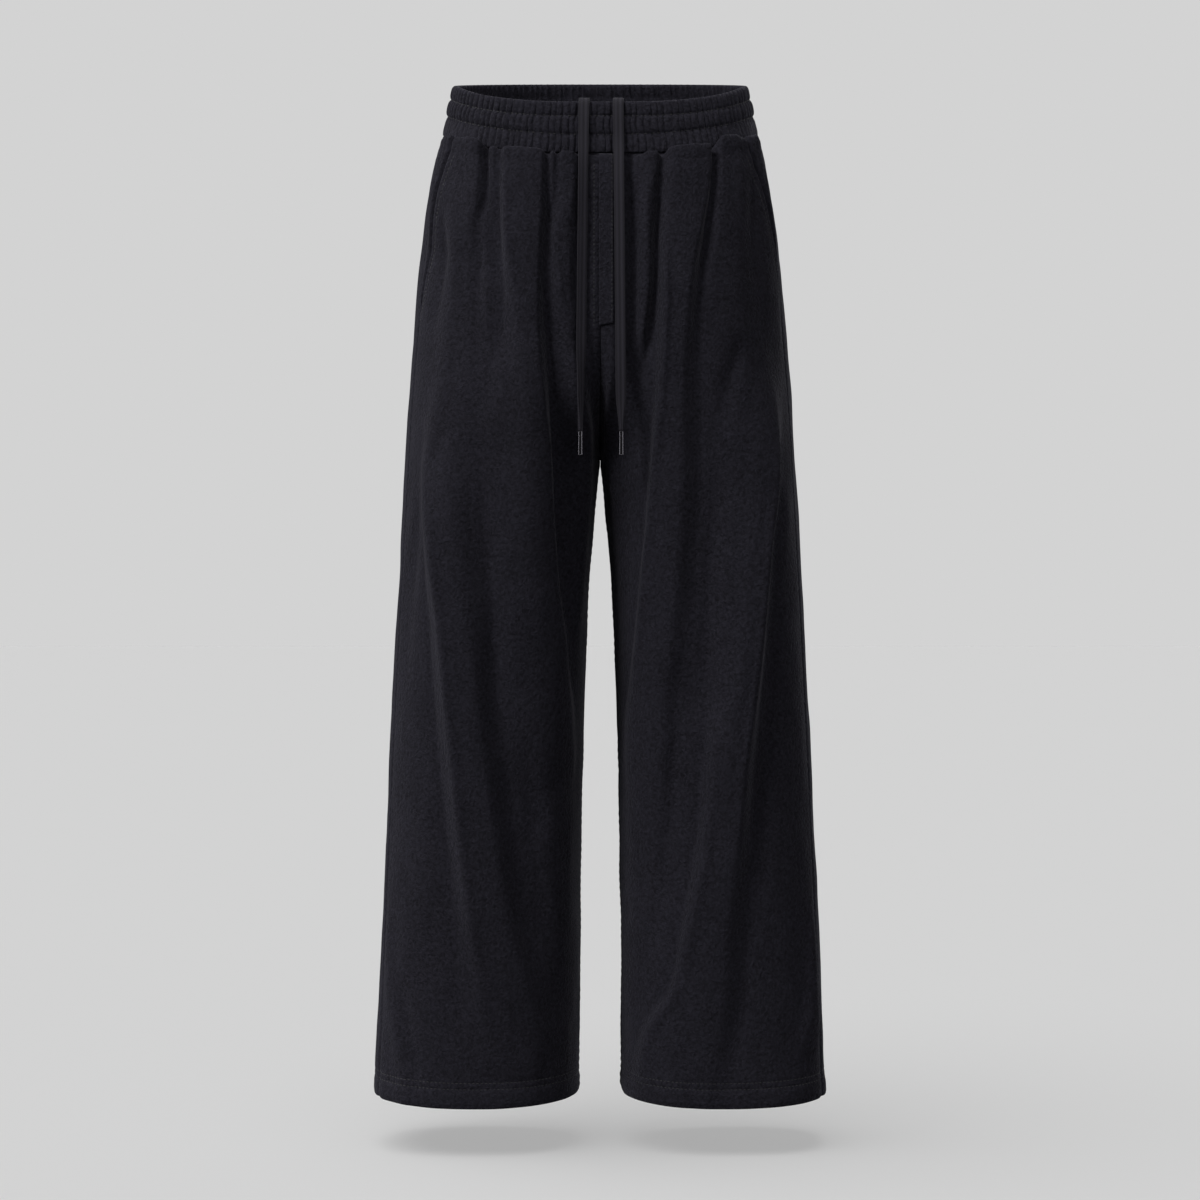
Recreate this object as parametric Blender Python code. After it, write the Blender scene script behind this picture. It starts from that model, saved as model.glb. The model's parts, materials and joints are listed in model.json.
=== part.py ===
"""Wide-leg fleece sweatpants, filled out as when worn, as one solid for each cut piece.

Frame: metres, +Z up, the front faces -Y, and the wearer's left is +X. The origin is the middle
of the waistband, half way up its sides, where the wearer's waist holds the garment.
"""

import math

import bmesh
import bpy
import numpy as np
from mathutils import Matrix

# ---------------------------------------------------------------- driving dimensions
WALL = 0.0020  # fleece
SEAM_GAP = 0.0003
SEAM_FLAT = 0.014  # the cloth lies flat this far beside a seam
BAND_TOP_Z = 0.0255
BAND_FOOT_Z = -0.0235
BAND_WALL = 0.0035  # fleece over elastic, at the stitched grooves
RIB_COUNT = 112
POINTS_PER_RIB = 2
BAND_SPAN = 4  # outer points for each point inside
CROTCH_Z = -0.359
CROTCH_Y = 0.010
HEM_Z = -1.0055
HEM_DEPTH = 0.020
HEM_MIDDLE_X = 0.1265
HEM_HALF_WIDTH = 0.1045
HEM_SAG = 0.0050
HEM_SAG_FROM_Z = -0.90
HEM_SAG_LEVEL = 0.4  # of the way out from a leg's middle, squared, the hem is at its own height
LEG_GAP_HALF = 0.0222  # half the gap between the legs at the hem
LEG_GAP_FALL = 0.18  # how far below the crotch the gap opens
LEGS_MERGE = 11.0  # how fast the two legs run together above the crotch, per metre
LEGS_PART_Z = -0.220  # folds fade towards the centre seam from here down
LEGS_PART_FALL = 0.125
TILT_SLOPE = 0.20  # the waistband's rise from front to back
TILT_DIP = 0.0140  # and how much more it dips at the very front
TILT_DIP_Y = 0.11
TILT_FROM_Z = -0.026
TILT_FADE = 0.28
PUFF = 0.0035  # the gathered cloth stands out under the waistband
PUFF_RISE = 0.011
PUFF_FADE = 0.055
PUFF_TUCK = 0.0020  # how far its edge goes under the waistband
POCKET_TOP_Z = -0.050
POCKET_END_Z = -0.220
POCKET_MOUTH = 0.0032
POCKET_TOP_FADE = 0.020
POCKET_END_FADE = 0.040
POCKET_LIP = 0.0012  # the sewn edges stand out a little
POCKET_LIP_WIDTH = 0.008
FACING_TOP_Z = -0.045
FACING_GAP = 0.0007  # clear of both panels, which bend at the seam
FACING_WALL = 0.0012
FACING_COLUMNS = 3  # under the front panel
FACING_ON_BACK = (0.0, 0.008)  # distances over the back panel from its seam
FLY_TOP_Z = -0.030
FLY_END_Z = -0.220
FLY_WALL = 0.0015
FLY_INSET = 0.0006  # from the centre seam
FLY_WIDTH = 0.0140
FLY_COLUMNS = 3
CORD_WIDTH = 0.0105
CORD_THICKNESS = 0.0024
AGLET_LENGTH = 0.0230
AGLET_RADIUS = 0.0025
AGLET_WALL = 0.0005
FRONT_COLUMNS = 24
BACK_COLUMNS = 16
FLANK_PER_COLUMN = 1.3  # a fold's flank spans at least this many columns, so that it shows cleanly
CURVE_ROWS = 7  # rows of cloth up the crotch curve, closer together near its foot
CURVE_ROW_STEP = 0.0029
STRETCHES = ("hip", "thigh", "shin")  # a panel is one cut piece, but its solid comes in these lengths
SPLIT_HEIGHTS = (-0.372, -0.680)
NORMAL_STEP = 0.0010  # the cloth's slope is read over this distance each way
QUARTER = np.linspace(0.0, math.pi / 2, 61)  # turns round a quarter of an outline
SEAM_TURN = math.radians(68)  # the side seam lies a little forward of the widest point

# ---------------------------------------------------------------- horizontal sections
# side_x: half width. lobe_x, front_y, back_y: where the front and the back are fullest.
# square: the outline's power, 2 for an ellipse and more for a squarer one.
SECTION_COLUMNS = ("z", "side_x", "lobe_x", "front_y", "back_y", "side_y", "square")
SECTIONS = (
    (0.0255, 0.1490, 0.030, -0.1020, 0.0970, 0.000, 2.10),
    (0.0000, 0.1545, 0.032, -0.1050, 0.1010, 0.000, 2.10),
    (-0.0255, 0.1595, 0.036, -0.1090, 0.1060, 0.001, 2.15),
    (-0.0500, 0.1665, 0.042, -0.1130, 0.1140, 0.002, 2.15),
    (-0.0800, 0.1745, 0.050, -0.1165, 0.1230, 0.004, 2.20),
    (-0.1200, 0.1810, 0.058, -0.1195, 0.1330, 0.006, 2.20),
    (-0.1800, 0.1875, 0.070, -0.1220, 0.1420, 0.008, 2.25),
    (-0.2400, 0.1925, 0.082, -0.1230, 0.1440, 0.009, 2.25),
    (-0.3000, 0.1968, 0.092, -0.1215, 0.1390, 0.009, 2.30),
    (-0.3590, 0.2000, 0.100, -0.1180, 0.1300, 0.008, 2.35),
    (-0.4500, 0.2050, 0.107, -0.1120, 0.1180, 0.006, 2.40),
    (-0.6000, 0.2130, 0.115, -0.1020, 0.1050, 0.003, 2.45),
    (-0.8000, 0.2225, 0.121, -0.0930, 0.0950, 0.001, 2.55),
    (-1.0055, 0.2310, 0.1265, -0.0860, 0.0870, 0.000, 2.60),
)

# Lines that the panels' columns of points follow: x at a height. The front's two lean inwards
# down the leg, as its folds do.
GRAIN_COLUMNS = ("z", "front_inner", "front_outer", "back")
GRAIN = (
    (-0.0235, 0.0600, 0.1080, 0.0700),
    (-0.2000, 0.0580, 0.1020, 0.0850),
    (-0.3590, 0.0530, 0.1150, 0.1000),
    (-0.5200, 0.0420, 0.1150, 0.1040),
    (-0.7000, 0.0350, 0.1020, 0.1060),
    (-0.8500, 0.0330, 0.0820, 0.1100),
    (-1.0055, 0.0330, 0.0600, 0.1180),
)
# Shares of a panel's columns at its first edge, at each grain line and at its last edge.
FRONT_SHARES = (0.0, 0.34, 0.64, 1.0)
BACK_SHARES = (0.0, 0.56, 1.0)

# ---------------------------------------------------------------- folds
# A fold is a strip of cloth that stands proud between two flanks. Each row is a place along it:
# height z, the x of its left and right flank as seen from the front, how far it stands proud,
# and how far each flank takes to rise.
FOLD_COLUMNS = ("z", "left", "right", "proud", "left_soft", "right_soft")
FRONT_FOLDS = {
    "right_pocket_gather": (
        (-0.030, -0.190, -0.1155, 0.0100, 0.010, 0.004),
        (-0.080, -0.195, -0.1160, 0.0085, 0.010, 0.006),
        (-0.140, -0.200, -0.1170, 0.0000, 0.010, 0.010),
    ),
    "right_small_gather": (
        (-0.030, -0.1100, -0.0990, 0.0055, 0.003, 0.004),
        (-0.080, -0.1090, -0.0980, 0.0040, 0.004, 0.006),
        (-0.130, -0.1080, -0.0960, 0.0000, 0.006, 0.008),
    ),
    "right_front_fold": (
        (-0.030, -0.0950, -0.0560, 0.0085, 0.004, 0.005),
        (-0.105, -0.0940, -0.0580, 0.0100, 0.005, 0.006),
        (-0.155, -0.0900, -0.0570, 0.0100, 0.006, 0.007),
        (-0.204, -0.0870, -0.0560, 0.0085, 0.010, 0.008),
        (-0.300, -0.0920, -0.0500, 0.0085, 0.025, 0.010),
        (-0.400, -0.1000, -0.0460, 0.0085, 0.030, 0.012),
        (-0.520, -0.0960, -0.0410, 0.0070, 0.030, 0.014),
        (-0.640, -0.0860, -0.0330, 0.0000, 0.030, 0.014),
    ),
    "right_inner_gather": (
        (-0.050, -0.0360, -0.0250, 0.0030, 0.005, 0.004),
        (-0.100, -0.0460, -0.0250, 0.0070, 0.005, 0.004),
        (-0.174, -0.0430, -0.0250, 0.0055, 0.006, 0.005),
        (-0.214, -0.0360, -0.0240, 0.0040, 0.006, 0.005),
        (-0.270, -0.0270, -0.0220, 0.0000, 0.006, 0.006),
    ),
    "right_leg_fold": (
        (-0.280, -0.1700, -0.1400, 0.0000, 0.010, 0.020),
        (-0.340, -0.1700, -0.1350, 0.0055, 0.008, 0.020),
        (-0.420, -0.1690, -0.1270, 0.0110, 0.007, 0.018),
        (-0.522, -0.1615, -0.1175, 0.0140, 0.006, 0.015),
        (-0.602, -0.1565, -0.1115, 0.0140, 0.006, 0.012),
        (-0.682, -0.1495, -0.1025, 0.0140, 0.006, 0.012),
        (-0.752, -0.1435, -0.0935, 0.0140, 0.007, 0.012),
        (-0.822, -0.1365, -0.0825, 0.0125, 0.009, 0.012),
        (-0.882, -0.1295, -0.0665, 0.0085, 0.013, 0.013),
        (-0.935, -0.1250, -0.0530, 0.0040, 0.015, 0.014),
        (-0.980, -0.1230, -0.0480, 0.0000, 0.015, 0.014),
    ),
    "left_inner_gather": (
        (-0.050, 0.0400, 0.0530, 0.0055, 0.005, 0.005),
        (-0.170, 0.0410, 0.0510, 0.0055, 0.006, 0.005),
        (-0.234, 0.0360, 0.0450, 0.0040, 0.007, 0.006),
        (-0.270, 0.0340, 0.0430, 0.0000, 0.008, 0.006),
    ),
    "left_front_fold": (
        (-0.030, 0.0640, 0.1110, 0.0110, 0.004, 0.004),
        (-0.105, 0.0610, 0.1075, 0.0110, 0.005, 0.006),
        (-0.145, 0.0610, 0.1005, 0.0110, 0.005, 0.007),
        (-0.204, 0.0600, 0.0965, 0.0110, 0.006, 0.009),
        (-0.300, 0.0580, 0.0910, 0.0100, 0.007, 0.011),
        (-0.402, 0.0520, 0.0900, 0.0100, 0.007, 0.012),
        (-0.481, 0.0460, 0.0865, 0.0100, 0.007, 0.012),
        (-0.560, 0.0390, 0.0810, 0.0085, 0.007, 0.012),
        (-0.640, 0.0300, 0.0775, 0.0070, 0.009, 0.013),
        (-0.700, 0.0270, 0.0740, 0.0040, 0.011, 0.014),
        (-0.770, 0.0260, 0.0700, 0.0000, 0.012, 0.015),
    ),
    "left_pocket_gather": (
        (-0.030, 0.1180, 0.1900, 0.0100, 0.004, 0.010),
        (-0.080, 0.1160, 0.1950, 0.0085, 0.006, 0.010),
        (-0.140, 0.1110, 0.2000, 0.0055, 0.009, 0.010),
        (-0.210, 0.1050, 0.2050, 0.0000, 0.012, 0.010),
    ),
    "left_leg_fold": (
        (-0.270, 0.1500, 0.1900, 0.0000, 0.030, 0.010),
        (-0.330, 0.1450, 0.1880, 0.0085, 0.030, 0.009),
        (-0.402, 0.1400, 0.1845, 0.0140, 0.030, 0.009),
        (-0.502, 0.1330, 0.1790, 0.0155, 0.028, 0.010),
        (-0.592, 0.1200, 0.1750, 0.0155, 0.016, 0.011),
        (-0.642, 0.1120, 0.1720, 0.0140, 0.010, 0.011),
        (-0.702, 0.1060, 0.1685, 0.0140, 0.009, 0.012),
        (-0.762, 0.0985, 0.1620, 0.0140, 0.008, 0.013),
        (-0.822, 0.0880, 0.1525, 0.0125, 0.008, 0.014),
        (-0.882, 0.0780, 0.1425, 0.0100, 0.008, 0.014),
        (-0.932, 0.0490, 0.1340, 0.0070, 0.009, 0.014),
        (-0.975, 0.0400, 0.1220, 0.0040, 0.009, 0.014),
        (-1.005, 0.0385, 0.1180, 0.0015, 0.009, 0.014),
    ),
    "left_shin_fold": (
        (-0.790, 0.2130, 0.2400, 0.0000, 0.005, 0.010),
        (-0.850, 0.2110, 0.2400, 0.0055, 0.005, 0.010),
        (-0.912, 0.2070, 0.2400, 0.0055, 0.005, 0.010),
        (-0.965, 0.2000, 0.2400, 0.0000, 0.006, 0.010),
    ),
}
BACK_FOLDS = {
    "right_side_gather": (
        (-0.030, -0.1500, -0.1180, 0.0085, 0.006, 0.005),
        (-0.090, -0.1560, -0.1160, 0.0070, 0.008, 0.008),
        (-0.170, -0.1620, -0.1140, 0.0000, 0.010, 0.012),
    ),
    "right_seat_gather": (
        (-0.030, -0.1040, -0.0700, 0.0100, 0.005, 0.005),
        (-0.110, -0.1060, -0.0660, 0.0085, 0.007, 0.008),
        (-0.210, -0.1100, -0.0600, 0.0000, 0.012, 0.014),
    ),
    "right_centre_gather": (
        (-0.030, -0.0540, -0.0200, 0.0085, 0.005, 0.005),
        (-0.090, -0.0540, -0.0180, 0.0070, 0.006, 0.007),
        (-0.160, -0.0540, -0.0170, 0.0000, 0.008, 0.010),
    ),
    "left_centre_gather": (
        (-0.030, 0.0180, 0.0500, 0.0085, 0.005, 0.005),
        (-0.100, 0.0170, 0.0510, 0.0070, 0.007, 0.006),
        (-0.180, 0.0160, 0.0530, 0.0000, 0.010, 0.008),
    ),
    "left_seat_gather": (
        (-0.030, 0.0640, 0.1000, 0.0100, 0.005, 0.005),
        (-0.120, 0.0620, 0.1030, 0.0085, 0.008, 0.007),
        (-0.230, 0.0580, 0.1080, 0.0000, 0.014, 0.012),
    ),
    "left_side_gather": (
        (-0.030, 0.1150, 0.1480, 0.0085, 0.005, 0.006),
        (-0.080, 0.1140, 0.1530, 0.0070, 0.007, 0.008),
        (-0.150, 0.1130, 0.1600, 0.0000, 0.012, 0.010),
    ),
    "right_seat_drape": (
        (-0.290, -0.1500, -0.1180, 0.0000, 0.012, 0.018),
        (-0.380, -0.1440, -0.1000, 0.0100, 0.010, 0.016),
        (-0.500, -0.1340, -0.0840, 0.0140, 0.010, 0.015),
        (-0.640, -0.1230, -0.0720, 0.0140, 0.010, 0.014),
        (-0.780, -0.1140, -0.0640, 0.0110, 0.011, 0.014),
        (-0.900, -0.1080, -0.0600, 0.0055, 0.013, 0.015),
        (-0.980, -0.1060, -0.0580, 0.0000, 0.014, 0.015),
    ),
    "right_calf_drape": (
        (-0.560, -0.1900, -0.1650, 0.0000, 0.010, 0.015),
        (-0.680, -0.1870, -0.1560, 0.0100, 0.009, 0.013),
        (-0.800, -0.1820, -0.1480, 0.0125, 0.009, 0.012),
        (-0.920, -0.1800, -0.1440, 0.0085, 0.010, 0.012),
        (-1.000, -0.1800, -0.1430, 0.0015, 0.010, 0.012),
    ),
    "left_seat_drape": (
        (-0.270, 0.1050, 0.1480, 0.0000, 0.016, 0.012),
        (-0.360, 0.0960, 0.1440, 0.0110, 0.014, 0.010),
        (-0.480, 0.0860, 0.1400, 0.0140, 0.014, 0.010),
        (-0.620, 0.0800, 0.1330, 0.0125, 0.015, 0.010),
        (-0.760, 0.0780, 0.1240, 0.0070, 0.016, 0.011),
        (-0.860, 0.0780, 0.1200, 0.0000, 0.016, 0.012),
    ),
    "left_calf_drape": (
        (-0.640, 0.1500, 0.1900, 0.0000, 0.014, 0.010),
        (-0.740, 0.1420, 0.1850, 0.0100, 0.013, 0.010),
        (-0.860, 0.1280, 0.1760, 0.0125, 0.012, 0.010),
        (-0.960, 0.1160, 0.1660, 0.0070, 0.012, 0.012),
        (-1.005, 0.1120, 0.1620, 0.0015, 0.012, 0.012),
    ),
    "left_inner_drape": (
        (-0.420, 0.0300, 0.0560, 0.0000, 0.008, 0.010),
        (-0.540, 0.0320, 0.0600, 0.0085, 0.008, 0.010),
        (-0.680, 0.0350, 0.0620, 0.0085, 0.009, 0.010),
        (-0.820, 0.0380, 0.0640, 0.0000, 0.010, 0.012),
    ),
}

# ---------------------------------------------------------------- waistband rows
# Three elasticated channels between stitched grooves: height, how far it stands out, rib depth.
BAND_COLUMNS = ("z", "bulge", "rib")
BAND_ROWS = (
    (0.0255, 0.0014, 0.0002),
    (0.0232, 0.0020, 0.0009),
    (0.0180, 0.0024, 0.0012),
    (0.0116, -0.0004, 0.0007),
    (0.0040, 0.0028, 0.0013),
    (-0.0043, -0.0006, 0.0007),
    (-0.0115, 0.0022, 0.0012),
    (-0.0185, 0.0012, 0.0010),
    (-0.0235, -0.0008, 0.0003),
)

# ---------------------------------------------------------------- colours
FLEECE_BLACK = (0.0122, 0.0116, 0.0137, 1.0)
BRAID_BLACK = (0.0130, 0.0130, 0.0150, 1.0)
GUNMETAL = (0.0900, 0.0880, 0.0850, 1.0)


# ---------------------------------------------------------------- small maths
def smoothstep(value):
    t = np.clip(value, 0.0, 1.0)
    return t * t * (3.0 - 2.0 * t)


def smooth_through(at, knots, values):
    """A smooth curve through the values at the knots, read at `at`. It never overshoots a value."""
    order = np.argsort(knots)
    knots = np.asarray(knots, float)[order]
    values = np.asarray(values, float)[order]
    steps = np.diff(knots)
    slopes = np.diff(values) / steps
    before, after = slopes[:-1], slopes[1:]
    tangents = np.concatenate([slopes[:1], np.zeros(len(before)), slopes[-1:]])
    same_way = before * after > 0
    tangents[1:-1][same_way] = (2 * before * after)[same_way] / (before + after)[same_way]
    at = np.clip(at, knots[0], knots[-1])
    i = np.clip(np.searchsorted(knots, at) - 1, 0, len(steps) - 1)
    t = (at - knots[i]) / steps[i]
    return (
        values[i] * (1 + 2 * t) * (1 - t) ** 2
        + tangents[i] * steps[i] * t * (1 - t) ** 2
        + values[i + 1] * t * t * (3 - 2 * t)
        + tangents[i + 1] * steps[i] * t * t * (t - 1)
    )


def read_table(table, columns, z):
    """The table's other columns at height z, by name, smooth from row to row."""
    heights = [row[0] for row in table]
    return {
        name: float(smooth_through(z, heights, [row[k] for row in table]))
        for k, name in enumerate(columns)
        if name != "z"
    }


def along_curve(*axes):
    """The distance along a curve of points, from its first point."""
    steps = np.sqrt(sum(np.diff(axis) ** 2 for axis in axes))
    return np.concatenate([[0.0], np.cumsum(steps)])


# ---------------------------------------------------------------- the form
def legs_weight(z):
    """0 in the seat, and 1 where the legs are apart."""
    return float(smoothstep((LEGS_PART_Z - z) / LEGS_PART_FALL))


def leg_inner_x(z):
    """Each leg is a tube. This is its inner side: past the middle above the crotch, where they merge."""
    below = CROTCH_Z - z
    if below > 0:
        return SEAM_GAP / 2 + LEG_GAP_HALF * (1 - math.exp(-below / LEG_GAP_FALL))
    return SEAM_GAP / 2 + LEG_GAP_HALF / LEG_GAP_FALL * below - LEGS_MERGE * below**2


def band_tilt(y, z):
    """A worn waistband sits lower at the front than at the back. The tilt fades out below it."""
    forward = np.clip(-y / TILT_DIP_Y, 0.0, 1.2)
    fade = float(1 - smoothstep((TILT_FROM_Z - z) / TILT_FADE))
    return (TILT_SLOPE * y - TILT_DIP * forward**2) * fade


def hem_sag(x, z):
    """The hem hangs a little lower in the middle of each leg than at its two seams."""
    across = np.clip((x - HEM_MIDDLE_X) / HEM_HALF_WIDTH, -1.0, 1.0)
    down = float(smoothstep((HEM_SAG_FROM_Z - z) / (HEM_SAG_FROM_Z - HEM_Z)))
    return HEM_SAG * (across**2 - HEM_SAG_LEVEL) * down


def fold_stand(folds, x, z, softest):
    """How far the folds make the cloth stand out at each x, at height z. No flank is under `softest`."""
    total = np.zeros_like(x)
    for rows in folds.values():
        if not rows[-1][0] <= z <= rows[0][0]:
            continue
        fold = read_table(rows, FOLD_COLUMNS, z)
        left_soft = max(fold["left_soft"], softest)
        right_soft = max(fold["right_soft"], softest)
        risen = smoothstep((x - fold["left"]) / left_soft / 2 + 0.5)
        fallen = smoothstep((x - fold["right"]) / right_soft / 2 + 0.5)
        total += fold["proud"] * (risen - fallen)
    return total


def pocket_shape(z):
    """0 outside the pocket mouth, rising to 1 along it."""
    from_top = smoothstep((POCKET_TOP_Z - z) / POCKET_TOP_FADE)
    from_end = smoothstep((z - POCKET_END_Z) / POCKET_END_FADE)
    return float(from_top * from_end)


def outline(z):
    """Half the plain outline at height z, on the +X side, from the front edge round to the back edge.

    Returns x, y, the distance along it, and its marks: the distances of the two front grain lines,
    the side seam, the back grain line and the back edge.
    The leg's section is cut off at the middle above the crotch, which gives the crotch curve.
    """
    section = read_table(SECTIONS, SECTION_COLUMNS, z)
    lobe_x, side_y = section["lobe_x"], section["side_y"]
    power = 2 / section["square"]
    leg_x = leg_inner_x(z)
    cut_x = max(leg_x, SEAM_GAP / 2)
    reach = min((lobe_x - cut_x) / (lobe_x - leg_x), 1.0)
    turned = QUARTER * (math.asin(reach ** (1 / power)) / QUARTER[-1])
    towards_edge, edge_fall = np.sin(turned) ** power, np.clip(np.cos(turned), 0, 1) ** power
    towards_side, side_fall = np.sin(QUARTER) ** power, np.clip(np.cos(QUARTER), 0, 1) ** power
    to_edge = lobe_x + (leg_x - lobe_x) * towards_edge
    to_side = lobe_x + (section["side_x"] - lobe_x) * towards_side
    front_edge = CROTCH_Y + (section["front_y"] - CROTCH_Y) * edge_fall
    front_side = side_y + (section["front_y"] - side_y) * side_fall
    back_side = side_y + (section["back_y"] - side_y) * side_fall
    back_edge = CROTCH_Y + (section["back_y"] - CROTCH_Y) * edge_fall
    x = np.concatenate([to_edge[::-1], to_side[1:], to_side[-2::-1], to_edge[1:]])
    y = np.concatenate([front_edge[::-1], front_side[1:], back_side[-2::-1], back_edge[1:]])
    along = along_curve(x, y)
    widest = 2 * len(QUARTER) - 2
    seam = along[len(QUARTER) - 1 + round(SEAM_TURN / QUARTER[1])]
    grain = read_table(GRAIN, GRAIN_COLUMNS, z)
    front_lines = (grain["front_inner"], grain["front_outer"])
    front_marks = np.interp(front_lines, x[:widest], along[:widest])
    back_mark = np.interp(grain["back"], x[:widest:-1], along[:widest:-1])
    return x, y, along, (*front_marks, seam, back_mark, along[-1])


def cloth_stand(z, seen_x, base_x, over, marks):
    """How far the cloth stands off the plain outline: its folds, the gathered puff, the pocket's lip."""
    seam, whole = marks[2], marks[4]
    front_softest = FLANK_PER_COLUMN * seam / FRONT_COLUMNS
    back_softest = FLANK_PER_COLUMN * (whole - seam) / BACK_COLUMNS
    folds = np.where(
        over < seam,
        fold_stand(FRONT_FOLDS, seen_x, z, front_softest),
        fold_stand(BACK_FOLDS, seen_x, z, back_softest),
    )
    off_side_seam = smoothstep(np.abs(over - seam) / SEAM_FLAT)
    off_inseam = smoothstep((base_x - max(leg_inner_x(z), 0.0)) / SEAM_FLAT)
    folds = folds * off_side_seam * (1 - legs_weight(z) * (1 - off_inseam))
    depth = min(max((BAND_FOOT_Z - z) / PUFF_RISE, 0.0), 1.0)
    rise = math.sqrt(depth * (2 - depth))
    puff = PUFF * float(1 - smoothstep((BAND_FOOT_Z - PUFF_RISE - z) / PUFF_FADE))
    lip = POCKET_LIP * pocket_shape(z) * np.exp(-(((over - seam) / POCKET_LIP_WIDTH) ** 2))
    return (folds + puff) * rise - PUFF_TUCK * (1 - rise) + lip


def cloth_row(side, z, at):
    """Points of the cloth's outer face at height z on one half, side +1 or -1.

    `at` turns the outline's marks into distances from the front edge.
    A distance past either end runs on over the other half, or round the leg.
    """
    x, y, along, marks = outline(z)
    whole = marks[-1]
    distance = np.asarray(at(marks), float)
    if z < CROTCH_Z:
        over = np.mod(distance, whole)
        half = np.full(len(distance), float(side))
    else:
        over = np.where(distance > whole, 2 * whole - distance, np.abs(distance))
        half = np.where((distance < 0) | (distance > whole), -side, side)
    tangent_x, tangent_y = np.gradient(x, along), np.gradient(y, along)
    length = np.hypot(tangent_x, tangent_y)
    base_x, base_y = np.interp(over, along, x), np.interp(over, along, y)
    normal_x = np.interp(over, along, tangent_y / length)
    normal_y = np.interp(over, along, -tangent_x / length)
    stand = cloth_stand(z, half * base_x, base_x, over, marks)
    out_x = half * (base_x + normal_x * stand)
    out_y = base_y + normal_y * stand
    return np.stack([out_x, out_y, z + band_tilt(base_y, z) + hem_sag(base_x, z)], axis=-1)


def front_spacing(z, nudge=0.0):
    """Distances across a front panel: from the centre edge to the side seam or the pocket's edge."""
    shares = np.linspace(0.0, 1.0, FRONT_COLUMNS + 1)
    mouth = POCKET_MOUTH * pocket_shape(z)

    def at(marks):
        inner, outer, seam, _, _ = marks
        places = (SEAM_GAP / 2, inner, outer, seam - SEAM_GAP / 2 - mouth)
        return np.interp(shares, FRONT_SHARES, places) + nudge

    return at


def back_spacing(z, nudge=0.0):
    """Distances across a back panel: from the side seam to the centre edge."""
    shares = np.linspace(0.0, 1.0, BACK_COLUMNS + 1)

    def at(marks):
        _, _, seam, back, whole = marks
        places = (seam + SEAM_GAP / 2, back, whole - SEAM_GAP / 2)
        return np.interp(shares, BACK_SHARES, places) + nudge

    return at


def cloth_grid(side, heights, spacing):
    """Outer points and outward normals of a panel, one row for each height."""
    points, normals = [], []
    for z in heights:
        across = cloth_row(side, z, spacing(z, NORMAL_STEP)) - cloth_row(side, z, spacing(z, -NORMAL_STEP))
        down = cloth_row(side, z - NORMAL_STEP, spacing(z)) - cloth_row(side, z + NORMAL_STEP, spacing(z))
        normal = np.cross(across, down) * -side
        normals.append(normal / np.linalg.norm(normal, axis=1)[:, None])
        points.append(cloth_row(side, z, spacing(z)))
    return np.array(points), np.array(normals)


# ---------------------------------------------------------------- mesh helpers
def material(name, colour, roughness, metallic=0.0):
    made = bpy.data.materials.new(name)
    made.use_nodes = True
    shader = made.node_tree.nodes["Principled BSDF"]
    shader.inputs["Base Color"].default_value = colour
    shader.inputs["Roughness"].default_value = roughness
    shader.inputs["Metallic"].default_value = metallic
    return made


def add_object(name, points, faces, finish):
    mesh = bpy.data.meshes.new(name)
    mesh.from_pydata([tuple(p) for p in points], [], faces)
    work = bmesh.new()
    work.from_mesh(mesh)
    bmesh.ops.recalc_face_normals(work, faces=work.faces)
    if work.calc_volume(signed=True) < 0:
        bmesh.ops.reverse_faces(work, faces=work.faces)
    work.to_mesh(mesh)
    work.free()
    mesh.shade_smooth()
    mesh.set_sharp_from_angle(angle=math.radians(50))
    mesh.materials.append(finish)
    made = bpy.data.objects.new(name, mesh)
    bpy.context.scene.collection.objects.link(made)
    return made


def wall_between(name, outer, inner, finish):
    """A closed wall between two grids of points with the same rows and columns.

    Each cell is split along the same diagonal on both sides, so walls that lie on each other match.
    """
    rows, columns = outer.shape[:2]
    count = rows * columns

    def at(layer, row, col):
        return layer * count + row * columns + col

    faces = []
    for layer in (0, 1):
        for row in range(rows - 1):
            for col in range(columns - 1):
                near, far = at(layer, row, col), at(layer, row, col + 1)
                below_near, below_far = at(layer, row + 1, col), at(layer, row + 1, col + 1)
                faces += [(near, far, below_near), (far, below_far, below_near)]
    rim = [(0, col) for col in range(columns)]
    rim += [(row, columns - 1) for row in range(1, rows)]
    rim += [(rows - 1, col) for col in range(columns - 2, -1, -1)]
    rim += [(row, 0) for row in range(rows - 2, 0, -1)]
    for here, there in zip(rim, rim[1:] + rim[:1]):
        faces.append([at(0, *there), at(0, *here), at(1, *here), at(1, *there)])
    return add_object(name, np.concatenate([outer.reshape(-1, 3), inner.reshape(-1, 3)]), faces, finish)


# ---------------------------------------------------------------- pieces
def panel_heights():
    """Rows close together at the waist and round the crotch curve, and wider down the leg."""
    below_band = [BAND_FOOT_Z - SEAM_GAP, -0.0258, -0.0300, -0.0380, -0.0520, -0.0750]
    seat = [-0.1100, -0.1480, -0.1840]
    curve = [CROTCH_Z + CURVE_ROW_STEP * k**2 for k in range(CURVE_ROWS, -1, -1)]
    leg = [-0.372, -0.400, -0.450, -0.520, -0.600, -0.680, -0.750, -0.820, -0.880, -0.940]
    hem = [HEM_Z + HEM_DEPTH, HEM_Z]
    heights = below_band + seat + curve + leg + hem
    for z in SPLIT_HEIGHTS:
        heights.insert(heights.index(z) + 1, z - SEAM_GAP)
    return heights


def keep_apart(points, side, facing, centre):
    """Moves points that a fold takes over the centre seam or the inseam back to their own side."""
    torso = np.array(panel_heights()) >= CROTCH_Z
    across = points[torso, :, 0] * side
    points[torso, :, 0] = np.maximum(across, SEAM_GAP / 2) * side
    beyond = (points[:, centre, 1] - CROTCH_Y) * facing
    points[:, centre, 1] = np.maximum(beyond, SEAM_GAP / 2) * facing + CROTCH_Y


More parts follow.
